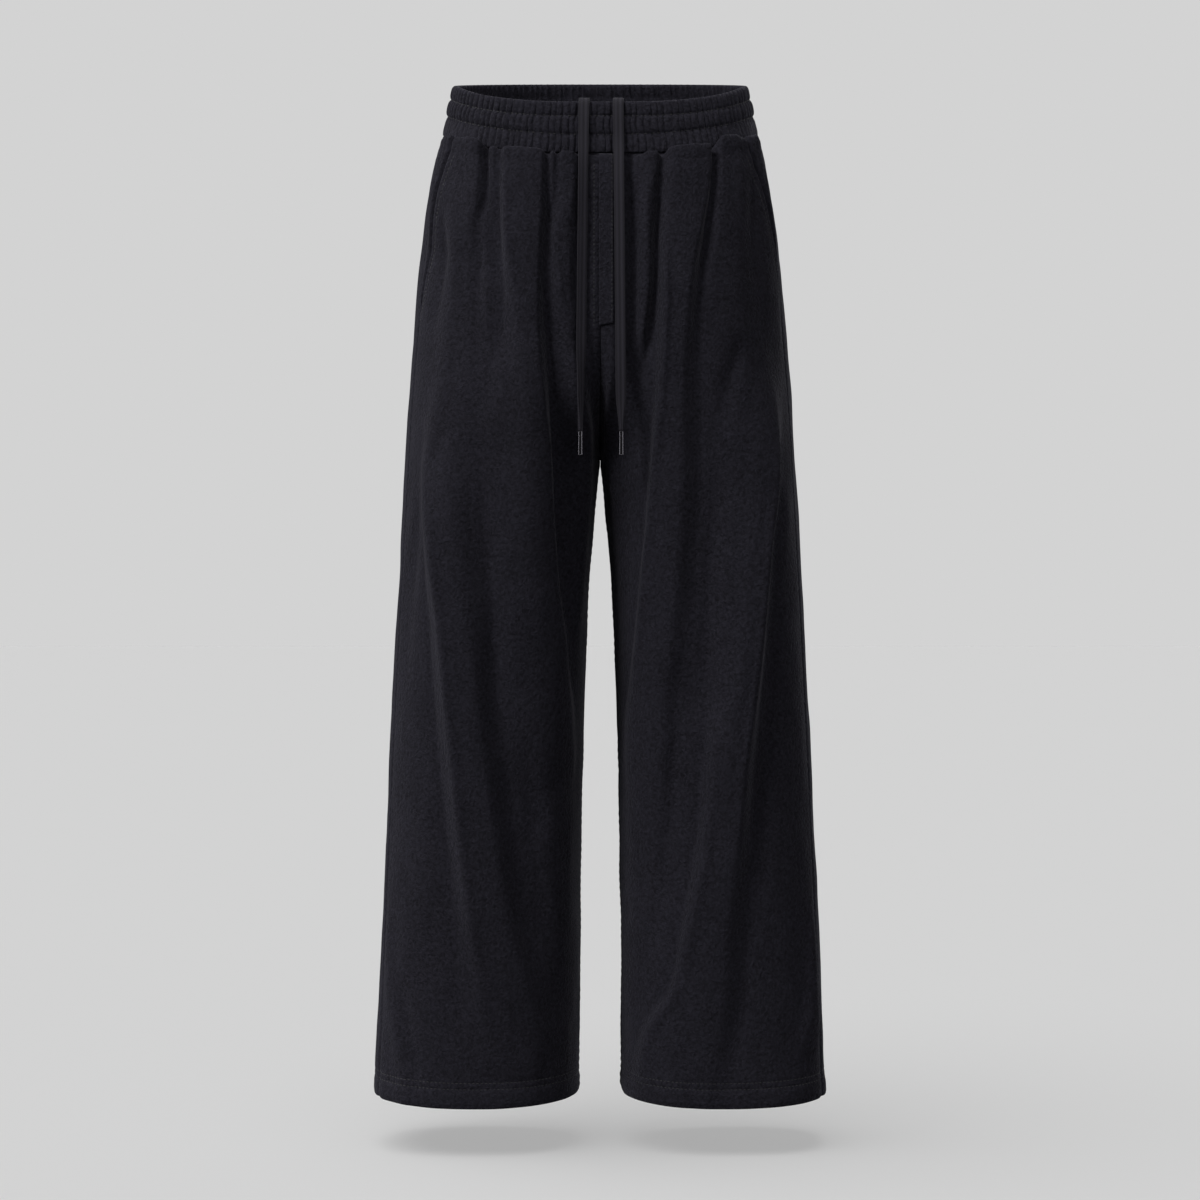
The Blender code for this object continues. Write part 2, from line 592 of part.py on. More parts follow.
def panel_walls(side, spacing, facing, centre):
    """The outer and inner points of one panel. The hem is turned up inside, so it is double."""
    heights = panel_heights()
    outer, normals = cloth_grid(side, heights, spacing)
    hem = np.array([WALL if z < HEM_Z + HEM_DEPTH / 2 else 0.0 for z in heights])
    inner = outer - normals * (WALL + hem)[:, None, None]
    for points in (outer, inner):
        keep_apart(points, side, facing, centre)
    return outer, inner


def make_panels(fleece):
    """Two fronts and two backs, each in three lengths.

    `facing` is the way along Y, and `centre` the centre seam's column.
    """
    cuts = (("front", front_spacing, -1, 0), ("back", back_spacing, 1, -1))
    heights = panel_heights()
    starts = [0, *(heights.index(z) + 1 for z in SPLIT_HEIGHTS)]
    walls = {}
    for side, wearer in ((-1, "right"), (1, "left")):
        for panel, spacing, facing, centre in cuts:
            name = f"{panel}_panel_{wearer}"
            outer, inner = walls[name] = panel_walls(side, spacing, facing, centre)
            for stretch, first, last in zip(STRETCHES, starts, [*starts[1:], len(heights)]):
                wall_between(f"{name}_{stretch}", outer[first:last], inner[first:last], fleece)
    return walls


def from_edge(row, distances):
    """Points at distances along a row of points, measured from its first point."""
    along = along_curve(*row.T)
    return np.stack([np.interp(distances, along, axis) for axis in row.T], axis=1)


def make_fly(walls, fleece):
    """The mock fly lies on the wearer's left front, beside the centre seam."""
    outer, inner = walls["front_panel_left"]
    heights = panel_heights()
    rows = [i for i, z in enumerate(heights) if FLY_END_Z - 1e-6 <= z <= FLY_TOP_Z]
    distances = np.linspace(FLY_INSET, FLY_WIDTH, FLY_COLUMNS + 1)
    on_panel = np.array([from_edge(outer[i], distances) for i in rows])
    under = np.array([from_edge(inner[i], distances) for i in rows])
    out = (on_panel - under) / np.linalg.norm(on_panel - under, axis=-1, keepdims=True)
    near = on_panel + out * SEAM_GAP
    wall_between("fly_placket", near + out * FLY_WALL, near, fleece)


def make_pocket_facings(walls, fleece):
    """A strip behind each pocket mouth, sewn to the back panel and lying under the front's edge."""
    rows = [i for i, z in enumerate(panel_heights()) if POCKET_END_Z - 1e-6 <= z <= FACING_TOP_Z]
    for wearer in ("right", "left"):
        front_outer, front_inner = walls[f"front_panel_{wearer}"]
        back_outer, back_inner = walls[f"back_panel_{wearer}"]
        near, far = [], []
        for i in rows:
            on_back = from_edge(back_inner[i], FACING_ON_BACK)
            skin = np.concatenate([front_inner[i][-FACING_COLUMNS:], on_back])
            on_back = from_edge(back_outer[i], FACING_ON_BACK)
            outside = np.concatenate([front_outer[i][-FACING_COLUMNS:], on_back])
            inward = (skin - outside) / np.linalg.norm(skin - outside, axis=1, keepdims=True)
            near.append(skin + inward * FACING_GAP)
            far.append(skin + inward * (FACING_GAP + FACING_WALL))
        wall_between(f"pocket_facing_{wearer}", np.array(near), np.array(far), fleece)


def band_ring(z, count, bulge=0.0, rib=0.0):
    """A closed ring of points round the waistband. Each rib has a crest and a valley."""
    x, y, _, _ = outline(z)
    half_x, half_y = np.concatenate([x, -x[::-1]]), np.concatenate([y, y[::-1]])
    along = along_curve(half_x, half_y)
    at = np.arange(count) / count * along[-1]
    ring_x, ring_y = np.interp(at, along, half_x), np.interp(at, along, half_y)
    tangent_x = np.roll(ring_x, -1) - np.roll(ring_x, 1)
    tangent_y = np.roll(ring_y, -1) - np.roll(ring_y, 1)
    size = np.hypot(tangent_x, tangent_y)
    wave = np.where(np.arange(count) % POINTS_PER_RIB == 0, 1.0, -1.0)
    out = bulge + rib * wave
    out_x, out_y = ring_x + tangent_y / size * out, ring_y - tangent_x / size * out
    return np.stack([out_x, out_y, z + band_tilt(ring_y, z)], axis=-1)


def make_waistband(fleece):
    """Ribs outside, plain inside. Each inner segment spans several outer ones."""
    count = RIB_COUNT * POINTS_PER_RIB
    inside = count // BAND_SPAN
    rings = [band_ring(z, count, bulge, rib) for z, bulge, rib in BAND_ROWS]
    rings += [band_ring(z, inside, -BAND_WALL) for z in (BAND_TOP_Z, 0.0, BAND_FOOT_Z)]
    starts = np.concatenate([[0], np.cumsum([len(ring) for ring in rings])])
    outer_rows, total = len(BAND_ROWS), len(rings)

    def at(ring, step):
        return int(starts[ring] + step % len(rings[ring]))

    faces = []
    for ring in (*range(outer_rows - 1), *range(outer_rows, total - 1)):
        for step in range(len(rings[ring])):
            across = at(ring, step), at(ring, step + 1)
            faces.append([*across, at(ring + 1, step + 1), at(ring + 1, step)])
    for outer_ring, inner_ring in ((0, outer_rows), (outer_rows - 1, total - 1)):
        for step in range(inside):
            first = step * BAND_SPAN
            middle = first + BAND_SPAN // 2
            faces.append([at(inner_ring, step), at(inner_ring, step + 1), at(outer_ring, middle)])
            for rim in range(first, first + BAND_SPAN):
                corner = step if rim < middle else step + 1
                faces.append([at(inner_ring, corner), at(outer_ring, rim), at(outer_ring, rim + 1)])
    add_object("waistband", np.concatenate(rings), faces, fleece)


# ---------------------------------------------------------------- drawcord
# Each end comes up inside the waistband, over its rim and down the front: distance in front of
# the origin and height, in metres. x moves from top_x to end_x as it hangs.
CORD_COLUMNS = ("y", "z")
CORD_ROUTE = (
    (-0.1000, -0.0353),
    (-0.0986, -0.0243),
    (-0.0972, -0.0153),
    (-0.0962, -0.0083),
    (-0.0980, -0.0047),
    (-0.1012, -0.0039),
    (-0.1046, -0.0057),
    (-0.1068, -0.0095),
    (-0.1082, -0.0153),
    (-0.1096, -0.0223),
    (-0.1107, -0.0303),
    (-0.1126, -0.0453),
    (-0.1156, -0.0593),
    (-0.1186, -0.0743),
    (-0.1208, -0.0915),
    (-0.1226, -0.1200),
    (-0.1242, -0.1500),
    (-0.1253, -0.1850),
    (-0.1259, -0.2200),
    (-0.1262, -0.2600),
    (-0.1262, -0.3000),
    (-0.1260, -0.3350),
)
CORD_ENDS = {"right": (-0.0160, -0.0197), "left": (0.0187, 0.0203)}
CORD_TURN = 0.050  # this much of the cord bends over the rim
CORD_TURN_POINTS = 12
CORD_STEP = 0.018
CORD_FINE = 800


def cord_points():
    """Points along one smooth curve through the route, closer together where it bends over the rim."""
    route = np.array(CORD_ROUTE).T
    chord = along_curve(*route)
    curve = [natural_curve(chord, axis, np.linspace(0, chord[-1], CORD_FINE)) for axis in route]
    along = along_curve(*curve)
    hanging = round((along[-1] - CORD_TURN) / CORD_STEP)
    turn = np.linspace(0.0, CORD_TURN, CORD_TURN_POINTS)
    at = np.concatenate([turn, np.linspace(CORD_TURN, along[-1], hanging + 1)[1:]])
    return np.stack([np.interp(at, along, axis) for axis in curve], axis=1)


def natural_curve(knots, values, at):
    """A natural cubic spline through the values."""
    count = len(knots)
    step = np.diff(knots)
    left = np.eye(count)
    right = np.zeros(count)
    for i in range(1, count - 1):
        left[i, i - 1 : i + 2] = step[i - 1], 2 * (step[i - 1] + step[i]), step[i]
        slope_before = (values[i] - values[i - 1]) / step[i - 1]
        slope_after = (values[i + 1] - values[i]) / step[i]
        right[i] = 6 * (slope_after - slope_before)
    bend = np.linalg.solve(left, right)
    i = np.clip(np.searchsorted(knots, at) - 1, 0, count - 2)
    a, b = knots[i + 1] - at, at - knots[i]
    return (
        (bend[i] * a**3 + bend[i + 1] * b**3) / (6 * step[i])
        + (values[i] / step[i] - bend[i] * step[i] / 6) * a
        + (values[i + 1] / step[i] - bend[i + 1] * step[i] / 6) * b
    )


def make_drawcord(wearer, braid, metal):
    """A flat cord: a round-edged strip along the route, with the metal tip on its end."""
    top_x, end_x = CORD_ENDS[wearer]
    points = cord_points()
    curve = bpy.data.curves.new(f"drawcord_{wearer}", "CURVE")
    curve.dimensions = "3D"
    curve.twist_mode = "Z_UP"
    curve.fill_mode = "FULL"
    curve.use_fill_caps = True
    curve.extrude = (CORD_WIDTH - CORD_THICKNESS) / 2
    curve.bevel_depth = CORD_THICKNESS / 2
    curve.bevel_resolution = 2
    spline = curve.splines.new("POLY")
    spline.points.add(len(points) - 1)
    for point, (y, z) in zip(spline.points, points):
        share = (points[0, 1] - z) / (points[0, 1] - points[-1, 1])
        point.co = (y, z, top_x + (end_x - top_x) * share, 1.0)
    curve.materials.append(braid)
    cord = bpy.data.objects.new(f"drawcord_{wearer}", curve)
    bpy.context.scene.collection.objects.link(cord)
    # Local X, Y and Z become the garment's Y, Z and X, so that the width lies along X.
    cord.matrix_world = Matrix(((0, 0, 1, 0), (1, 0, 0, 0), (0, 1, 0, 0), (0, 0, 0, 1)))

    tip_y, tip_z = points[-1]
    bpy.ops.mesh.primitive_cylinder_add(vertices=16, radius=AGLET_RADIUS, depth=AGLET_LENGTH)
    aglet = bpy.context.object
    aglet.name = f"aglet_{wearer}"
    aglet.data.name = aglet.name
    aglet.location = (end_x, tip_y, tip_z - SEAM_GAP - AGLET_LENGTH / 2)
    bevel = aglet.modifiers.new("rolled_ends", "BEVEL")
    bevel.width = AGLET_WALL
    bevel.segments = 2
    bevel.limit_method = "ANGLE"
    aglet.data.shade_smooth()
    aglet.data.set_sharp_from_angle(angle=math.radians(40))
    aglet.data.materials.append(metal)


def main():
    for old in list(bpy.data.objects):
        bpy.data.objects.remove(old)
    fleece = material("polar_fleece", FLEECE_BLACK, 0.95)
    braid = material("flat_braid", BRAID_BLACK, 0.8)
    metal = material("gunmetal_tip", GUNMETAL, 0.3, 1.0)
    walls = make_panels(fleece)
    make_waistband(fleece)
    make_fly(walls, fleece)
    make_pocket_facings(walls, fleece)
    for wearer in CORD_ENDS:
        make_drawcord(wearer, braid, metal)


main()
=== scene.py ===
# %% [markdown]
# # Wide-leg fleece sweatpants
#
# The garment is filled out as if worn, with nobody in it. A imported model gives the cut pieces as
# plain solids. This script dresses each of them: finer cloth on the same form, sewn details, a
# braided drawcord with metal tips, and the finish of every surface.
#
# Lengths are metres, +Z is up, the front faces -Y and the wearer's left is +X.

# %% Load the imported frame
import functools
import json
import math

import bmesh
import bpy
import numpy as np
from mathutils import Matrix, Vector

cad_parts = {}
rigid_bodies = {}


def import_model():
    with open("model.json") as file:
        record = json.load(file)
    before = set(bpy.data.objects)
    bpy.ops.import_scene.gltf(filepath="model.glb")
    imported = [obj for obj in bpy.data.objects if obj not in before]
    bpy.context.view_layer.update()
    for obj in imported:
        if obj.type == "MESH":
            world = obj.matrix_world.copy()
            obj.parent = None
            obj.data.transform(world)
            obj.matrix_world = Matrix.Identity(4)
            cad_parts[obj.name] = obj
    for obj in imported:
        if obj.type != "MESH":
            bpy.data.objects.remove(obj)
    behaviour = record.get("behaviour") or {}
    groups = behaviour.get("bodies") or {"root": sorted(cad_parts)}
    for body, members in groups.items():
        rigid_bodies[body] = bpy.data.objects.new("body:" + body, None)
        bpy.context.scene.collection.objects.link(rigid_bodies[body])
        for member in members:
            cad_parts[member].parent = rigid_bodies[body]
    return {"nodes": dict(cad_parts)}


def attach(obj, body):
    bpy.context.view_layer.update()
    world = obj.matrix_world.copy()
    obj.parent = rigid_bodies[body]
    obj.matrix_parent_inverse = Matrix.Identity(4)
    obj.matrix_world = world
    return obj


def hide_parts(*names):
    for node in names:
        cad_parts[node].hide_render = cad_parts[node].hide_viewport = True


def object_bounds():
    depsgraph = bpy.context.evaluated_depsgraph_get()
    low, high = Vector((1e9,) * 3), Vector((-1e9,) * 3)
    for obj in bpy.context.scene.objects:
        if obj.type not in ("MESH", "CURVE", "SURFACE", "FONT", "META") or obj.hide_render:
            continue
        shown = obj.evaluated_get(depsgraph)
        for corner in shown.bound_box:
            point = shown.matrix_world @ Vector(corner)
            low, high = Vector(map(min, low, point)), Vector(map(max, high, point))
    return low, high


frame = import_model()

cad_low, cad_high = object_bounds()
print("cut pieces:", ", ".join(sorted(frame["nodes"])))

# %% [markdown]
# ## Camera
#
# Clothing is photographed from well back, so that the legs don't seem to shrink away from the
# lens. The camera stands level with the middle of the garment and looks straight at it.
# The lens follows from how much has to fit: 1.234 m across the garment's middle plane.

# %% Camera
CAMERA_DISTANCE = 2.80
CAMERA_HEIGHT = -0.501
CAMERA_X = -0.0003
SEEN_WIDTH = 1.234
SENSOR_MM = 36.0

camera_data = bpy.data.cameras.new("camera")
camera_data.sensor_width = SENSOR_MM
camera_data.lens = SENSOR_MM * CAMERA_DISTANCE / SEEN_WIDTH
camera = bpy.data.objects.new("camera", camera_data)
camera.location = (CAMERA_X, -CAMERA_DISTANCE, CAMERA_HEIGHT)
camera.rotation_euler = (math.radians(90), 0, 0)
bpy.context.scene.collection.objects.link(camera)
bpy.context.scene.camera = camera
print(f"lens {camera_data.lens:.1f} mm")

# %% [markdown]
# ## Colours and nodes
#
# Colours are written as sRGB hex, as a colour picker shows them. Shaders work in linear light, so
# one function converts them. Another adds a node with its settings and links, which keeps each
# material readable as a list of steps.


# %% Colour and node helpers
def srgb(code):
    """A hex colour as linear red, green, blue and alpha."""
    parts = [int(code[k : k + 2], 16) / 255 for k in (1, 3, 5)]
    linear = [c / 12.92 if c <= 0.04045 else ((c + 0.055) / 1.055) ** 2.4 for c in parts]
    return (*linear, 1.0)


def add_node(tree, kind, inputs=None, **settings):
    """Adds a node. `inputs` maps a socket's name or number to a value or to another node's output."""
    node = tree.nodes.new(kind)
    for name, value in settings.items():
        setattr(node, name, value)
    for socket, value in (inputs or {}).items():
        if isinstance(value, bpy.types.NodeSocket):
            tree.links.new(value, node.inputs[socket])
        else:
            node.inputs[socket].default_value = value
    return node


def new_material(name):
    """An empty material with its shader, ready for nodes."""
    made = bpy.data.materials.new(name)
    made.use_nodes = True
    return made, made.node_tree, made.node_tree.nodes["Principled BSDF"]


# %% [markdown]
# ## Smooth curves
#
# A maker gives a few sizes and lets the cloth run smoothly between them. Three small functions do
# that here: a soft step, a curve through a table's rows that never overshoots them, and a spline
# for the cord, which bends evenly as a cord does.


# %% Curve helpers
def smoothstep(value):
    t = np.clip(value, 0.0, 1.0)
    return t * t * (3.0 - 2.0 * t)


def bump(value):
    """1 at 0, falling smoothly away on both sides."""
    return np.exp(-np.square(value))


def smooth_through(at, knots, values):
    """A smooth curve through the values at the knots, read at `at`. It never overshoots a value."""
    order = np.argsort(knots)
    knots = np.asarray(knots, float)[order]
    values = np.asarray(values, float)[order]
    steps = np.diff(knots)
    slopes = np.diff(values) / steps
    before, after = slopes[:-1], slopes[1:]
    tangents = np.concatenate([slopes[:1], np.zeros(len(before)), slopes[-1:]])
    same_way = before * after > 0
    tangents[1:-1][same_way] = (2 * before * after)[same_way] / (before + after)[same_way]
    at = np.clip(at, knots[0], knots[-1])
    i = np.clip(np.searchsorted(knots, at) - 1, 0, len(steps) - 1)
    t = (at - knots[i]) / steps[i]
    return (
        values[i] * (1 + 2 * t) * (1 - t) ** 2
        + tangents[i] * steps[i] * t * (1 - t) ** 2
        + values[i + 1] * t * t * (3 - 2 * t)
        + tangents[i + 1] * steps[i] * t * t * (t - 1)
    )


def read_table(table, columns, z):
    """The table's other columns at height z, by name, smooth from row to row."""
    heights = [row[0] for row in table]
    return {
        name: smooth_through(z, heights, [row[k] for row in table])
        for k, name in enumerate(columns)
        if name != "z"
    }


def along_curve(*axes):
    """The distance along a curve of points, from its first point."""
    steps = np.sqrt(sum(np.diff(axis) ** 2 for axis in axes))
    return np.concatenate([[0.0], np.cumsum(steps)])


def natural_curve(knots, values, at):
    """A natural cubic spline through the values."""
    count = len(knots)
    step = np.diff(knots)
    left = np.eye(count)
    right = np.zeros(count)
    for i in range(1, count - 1):
        left[i, i - 1 : i + 2] = step[i - 1], 2 * (step[i - 1] + step[i]), step[i]
        slope_before = (values[i] - values[i - 1]) / step[i - 1]
        slope_after = (values[i + 1] - values[i]) / step[i]
        right[i] = 6 * (slope_after - slope_before)
    bend = np.linalg.solve(left, right)
    i = np.clip(np.searchsorted(knots, at) - 1, 0, count - 2)
    a, b = knots[i + 1] - at, at - knots[i]
    return (
        (bend[i] * a**3 + bend[i + 1] * b**3) / (6 * step[i])
        + (values[i] / step[i] - bend[i] * step[i] / 6) * a
        + (values[i + 1] / step[i] - bend[i + 1] * step[i] / 6) * b
    )


# %% [markdown]
# ## Mesh helpers
#
# Cloth is a grid of points: rows down the garment, columns across it. A wall is two such grids, the
# outer face and the inner one, closed all round. A folded edge, such as a hem, is rounded by a few
# extra rows that turn from one face to the other.


# %% Mesh helpers
def mesh_object(name, points, faces, finish, uv=None):
    """A piece from points and faces. `uv` gives each point its place on the cloth, in metres."""
    mesh = bpy.data.meshes.new(name)
    mesh.from_pydata(np.asarray(points, float).tolist(), [], faces)
    if uv is not None:
        layer = mesh.uv_layers.new(name="UVMap")
        corner = np.empty(len(mesh.loops), np.int32)
        mesh.loops.foreach_get("vertex_index", corner)
        layer.data.foreach_set("uv", np.asarray(uv, np.float32)[corner].ravel())
    mesh.shade_smooth()
    mesh.materials.append(finish)
    made = bpy.data.objects.new(name, mesh)
    bpy.context.scene.collection.objects.link(made)
    return made


def turn_outwards(piece):
    """Makes a closed piece's faces point out."""
    work = bmesh.new()
    work.from_mesh(piece.data)
    bmesh.ops.recalc_face_normals(work, faces=work.faces)
    if work.calc_volume(signed=True) < 0:
        bmesh.ops.reverse_faces(work, faces=work.faces)
    work.to_mesh(piece.data)
    work.free()
    piece.data.shade_smooth()
    return piece


def grid_faces(rows, columns, start=0, ring=False):
    """Four-sided faces over a grid of points. A ring's last column joins its first."""
    row, col = np.meshgrid(np.arange(rows - 1), np.arange(columns - (not ring)), indexing="ij")
    near = start + row * columns + col
    far = start + row * columns + (col + 1) % columns
    return np.stack([near, far, far + columns, near + columns], axis=-1).reshape(-1, 4).tolist()


def folded_edge(outer_row, inner_row, down, turns=(45, 90, 135)):
    """Rows that turn round a folded edge, from the outer face to the inner one."""
    half = np.linalg.norm(outer_row - inner_row, axis=1)[:, None] / 2
    made = []
    for angle in np.radians(turns):
        middle = outer_row * (1 + math.cos(angle)) / 2 + inner_row * (1 - math.cos(angle)) / 2
        made.append(middle + down * half * math.sin(angle))
    return made


def cloth_wall(name, outer, inner, finish, uv, folded_foot=True):
    """A closed wall of cloth: down the outer face, round its foot and up the inner face."""
    down = outer[-1] - outer[-2]
    down /= np.linalg.norm(down, axis=1)[:, None]
    turn = folded_edge(outer[-1], inner[-1], down) if folded_foot else []
    rows = np.concatenate([outer, np.array(turn).reshape(-1, outer.shape[1], 3), inner[::-1]])
    count, columns = rows.shape[:2]
    faces = grid_faces(count, columns)
    top = [[col + 1, col, (count - 1) * columns + col, (count - 1) * columns + col + 1] for col in range(columns - 1)]
    faces += top
    for col in (0, columns - 1):
        for row in range(count // 2):
            other = count - 1 - row
            if other - row < 2:
                break
            a, b = row * columns + col, (row + 1) * columns + col
            c, d = (other - 1) * columns + col, other * columns + col
            faces.append([a, b, c, d] if b != c else [a, b, d])
    uv_rows = np.concatenate([uv, np.repeat(uv[-1:], len(turn), axis=0), uv[::-1]])
    return turn_outwards(mesh_object(name, rows.reshape(-1, 3), faces, finish, uv_rows.reshape(-1, 2)))


# %% [markdown]
# ## Flat braid
#
# The drawcord is a flat tubular braid of polyester yarn, 10.5 mm wide. Braids cross two sets of
# yarns at a slant, so the surface shows small chevrons in rows along the cord. It is smoother than
# the fleece and catches a little more light. The chevrons follow the cord through its own UV map,
# in five rows, each 2.1 mm wide. The yarn is one colour; painted shade darkens the grooves between
# and across the rows, and the raised yarns are painted lighter, as the colour follows the relief.

# %% Flat braid material
YARN_WIDTH = 0.0021
CHEVRON_LENGTH = 0.0024


def make_braid():
    braid, tree, shader = new_material("flat_polyester_braid")
    place = add_node(tree, "ShaderNodeUVMap", uv_map="UVMap")
    split = add_node(tree, "ShaderNodeSeparateXYZ", {0: place.outputs[0]})
    across = add_node(tree, "ShaderNodeMath", {0: split.outputs[0], 1: 1 / YARN_WIDTH}, operation="MULTIPLY")
    zigzag = add_node(tree, "ShaderNodeMath", {0: across.outputs[0], 1: 1.0}, operation="PINGPONG")
    along = add_node(tree, "ShaderNodeMath", {0: split.outputs[1], 1: 1 / CHEVRON_LENGTH}, operation="MULTIPLY")
    slanted = add_node(tree, "ShaderNodeMath", {0: along.outputs[0], 1: zigzag.outputs[0]}, operation="ADD")
    turns = add_node(tree, "ShaderNodeMath", {0: slanted.outputs[0], 1: 2 * math.pi}, operation="MULTIPLY")
    wave = add_node(tree, "ShaderNodeMath", {0: turns.outputs[0]}, operation="SINE")
    rows = add_node(tree, "ShaderNodeMath", {0: wave.outputs[0], 1: 0.3, 2: zigzag.outputs[0]}, operation="MULTIPLY_ADD")
    # Painted shade: the colour follows the same relief as the bump, darker in the low grooves and lighter on the raised
    # yarns.
    shade = add_node(
        tree,
        "ShaderNodeMapRange",
        {"Value": rows.outputs[0], "From Min": -0.1, "From Max": 1.1, "To Min": 0.0, "To Max": 1.0},
    )
    colour = add_node(tree, "ShaderNodeMix", {0: shade.outputs[0], 6: srgb("#16151A"), 7: srgb("#2C2A32")}, data_type="RGBA")
    relief = add_node(tree, "ShaderNodeBump", {"Strength": 0.55, "Distance": 0.0004, "Height": rows.outputs[0]})
    tree.links.new(colour.outputs[2], shader.inputs["Base Color"])
    tree.links.new(relief.outputs[0], shader.inputs["Normal"])
    shader.inputs["Roughness"].default_value = 0.72
    shader.inputs["Specular IOR Level"].default_value = 0.15
    shader.inputs["Sheen Weight"].default_value = 0.03
    shader.inputs["Sheen Roughness"].default_value = 0.4
    return braid


braid = make_braid()
print("braid yarns", YARN_WIDTH * 1000, "mm wide")

# %% [markdown]
# ## Drawcord
#
# The cord runs inside the waistband. Each end comes up behind the front rim, over it and down the
# front, pulled straight by its metal tip. It is a fixed length of something limp, so it is built
# from its route: a few given places, one smooth curve through them, and a flat rounded
# section carried along that curve. Towards the tip the braid is squeezed to the tip's size.

# %% Drawcord sizes and route
CORD_WIDTH = 0.0105
CORD_THICKNESS = 0.0026
CORD_STEP = 0.002
CORD_SQUEEZE = 0.038  # the squeezed stretch before the tip
CORD_SQUEEZED_WIDTH = 0.0047
CORD_SQUEEZED_THICKNESS = 0.0042
CORD_ROUTE = (  # y and z
    (-0.1000, -0.0353),
    (-0.0986, -0.0243),
    (-0.0972, -0.0153),
    (-0.0962, -0.0083),
    (-0.0980, -0.0047),
    (-0.1012, -0.0039),
    (-0.1046, -0.0057),
    (-0.1068, -0.0095),
    (-0.1082, -0.0153),
    (-0.1096, -0.0223),
    (-0.1107, -0.0303),
    (-0.1126, -0.0453),
    (-0.1156, -0.0593),
    (-0.1186, -0.0743),
    (-0.1208, -0.0915),
    (-0.1226, -0.1200),
    (-0.1242, -0.1500),
    (-0.1253, -0.1850),
    (-0.1259, -0.2200),
    (-0.1262, -0.2600),
    (-0.1262, -0.3000),
    (-0.1260, -0.3350),
)
CORD_ENDS = {"right": (-0.0164, -0.0197), "left": (0.0180, 0.0206)}  # x at the top and at the tip
# Degrees that each end is turned about its length, as it hangs and just above its tip.
CORD_TWIST = {"right": (24.0, 56.0), "left": (-6.0, 10.0)}
CORD_HOLLOW = 0.50  # a flattened tube is this share thinner in the middle than at its edges
CORD_TWIST_REACH = 0.060


def cord_line(wearer):
    """Points along the middle of one cord end, evenly spaced."""
    route = np.array(CORD_ROUTE).T
    chord = along_curve(*route)
    y, z = (natural_curve(chord, axis, np.linspace(0, chord[-1], 800)) for axis in route)
    along = along_curve(y, z)
    at = np.linspace(0, along[-1], round(along[-1] / CORD_STEP) + 1)
    y, z = np.interp(at, along, y), np.interp(at, along, z)
    top_x, end_x = CORD_ENDS[wearer]
    x = top_x + (end_x - top_x) * (z[0] - z) / (z[0] - z[-1])
    return np.stack([x, y, z], axis=1)


# %% Drawcord
SECTION_TURNS = np.arange(28) / 28 * 2 * math.pi


def make_cord(wearer):
    line = cord_line(wearer)
    along = along_curve(*line.T)
    ahead = np.gradient(line, along, axis=0)
    ahead /= np.linalg.norm(ahead, axis=1)[:, None]
    across = np.array([1.0, 0.0, 0.0]) - ahead * ahead[:, :1]
    across /= np.linalg.norm(across, axis=1)[:, None]
    out = np.cross(ahead, across)
    squeezed = smoothstep((along - along[-1] + CORD_SQUEEZE) / CORD_SQUEEZE)
    width = CORD_WIDTH + (CORD_SQUEEZED_WIDTH - CORD_WIDTH) * squeezed
    thickness = CORD_THICKNESS + (CORD_SQUEEZED_THICKNESS - CORD_THICKNESS) * squeezed
    hanging = smoothstep((along - CORD_TWIST_REACH) / CORD_TWIST_REACH)
    near_tip = smoothstep((along - along[-1] + 2.6 * CORD_SQUEEZE) / (1.8 * CORD_SQUEEZE))
    hung, low = CORD_TWIST[wearer]
    turn = np.radians((hung + (low - hung) * near_tip) * hanging)[:, None]
    across, out = across * np.cos(turn) - out * np.sin(turn), out * np.cos(turn) + across * np.sin(turn)
    # The edges are rounded and thicker than the middle, as on a flattened tube.
    side = np.sign(np.cos(SECTION_TURNS)) * np.abs(np.cos(SECTION_TURNS)) ** 0.55
    face = np.sign(np.sin(SECTION_TURNS)) * np.abs(np.sin(SECTION_TURNS)) ** 0.8
    face = face[None] * (1 - CORD_HOLLOW * (1 - np.abs(side) ** 2)[None] * (1 - squeezed)[:, None])
    ring = side[None, :, None] * across[:, None] * width[:, None, None] / 2
    ring = ring + face[:, :, None] * out[:, None] * thickness[:, None, None] / 2
    points = (line[:, None] + ring).reshape(-1, 3)
    rings, count = len(line), len(SECTION_TURNS)
    faces = grid_faces(rings, count, ring=True)
    faces += [list(range(count)), list(range(rings * count - count, rings * count))]
    u = np.broadcast_to(side[None] * CORD_WIDTH / 2, (rings, count))
    v = np.broadcast_to(along[:, None], (rings, count))
    uv = np.stack([u, v], axis=-1).reshape(-1, 2)
    piece = turn_outwards(mesh_object(f"cord_{wearer}", points, faces, braid, uv))
    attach(piece, "root")
    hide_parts(f"drawcord_{wearer}")
    return piece, line, along[-1]


cords = {wearer: make_cord(wearer) for wearer in CORD_ENDS}
for wearer, (piece, line, length) in cords.items():
    print(piece.name, f"{length * 1000:.0f} mm long")

# %% [markdown]
# ## Metal tips
#
# The tips are short tubes of steel, plated gunmetal. A press crimps them round the cord, which
# leaves a shallow dent near the top, and both ends are rolled in so that they don't cut the braid.
# A cylinder is added at its size and place. Its ends are inset and pushed in, its edges bevelled,
# and a ring of edges round the crimp is drawn in.

# %% Metal tip material
def make_gunmetal():
    """Plated steel: dark, smooth, with faint lines round the tube where it was turned."""
    metal, tree, shader = new_material("gunmetal_plated_steel")
    place = add_node(tree, "ShaderNodeTexCoord")
    stretch = add_node(tree, "ShaderNodeMapping", {0: place.outputs["Object"], 3: (60.0, 60.0, 5000.0)})
    lines = add_node(tree, "ShaderNodeTexNoise", {"Vector": stretch.outputs[0], "Scale": 1.0, "Detail": 2.0})
    rough = add_node(
        tree,
        "ShaderNodeMapRange",
        {"Value": lines.outputs[0], "To Min": 0.16, "To Max": 0.32},
    )
    tree.links.new(rough.outputs[0], shader.inputs["Roughness"])
    shader.inputs["Base Color"].default_value = srgb("#6C6A70")
    shader.inputs["Metallic"].default_value = 1.0
    return metal


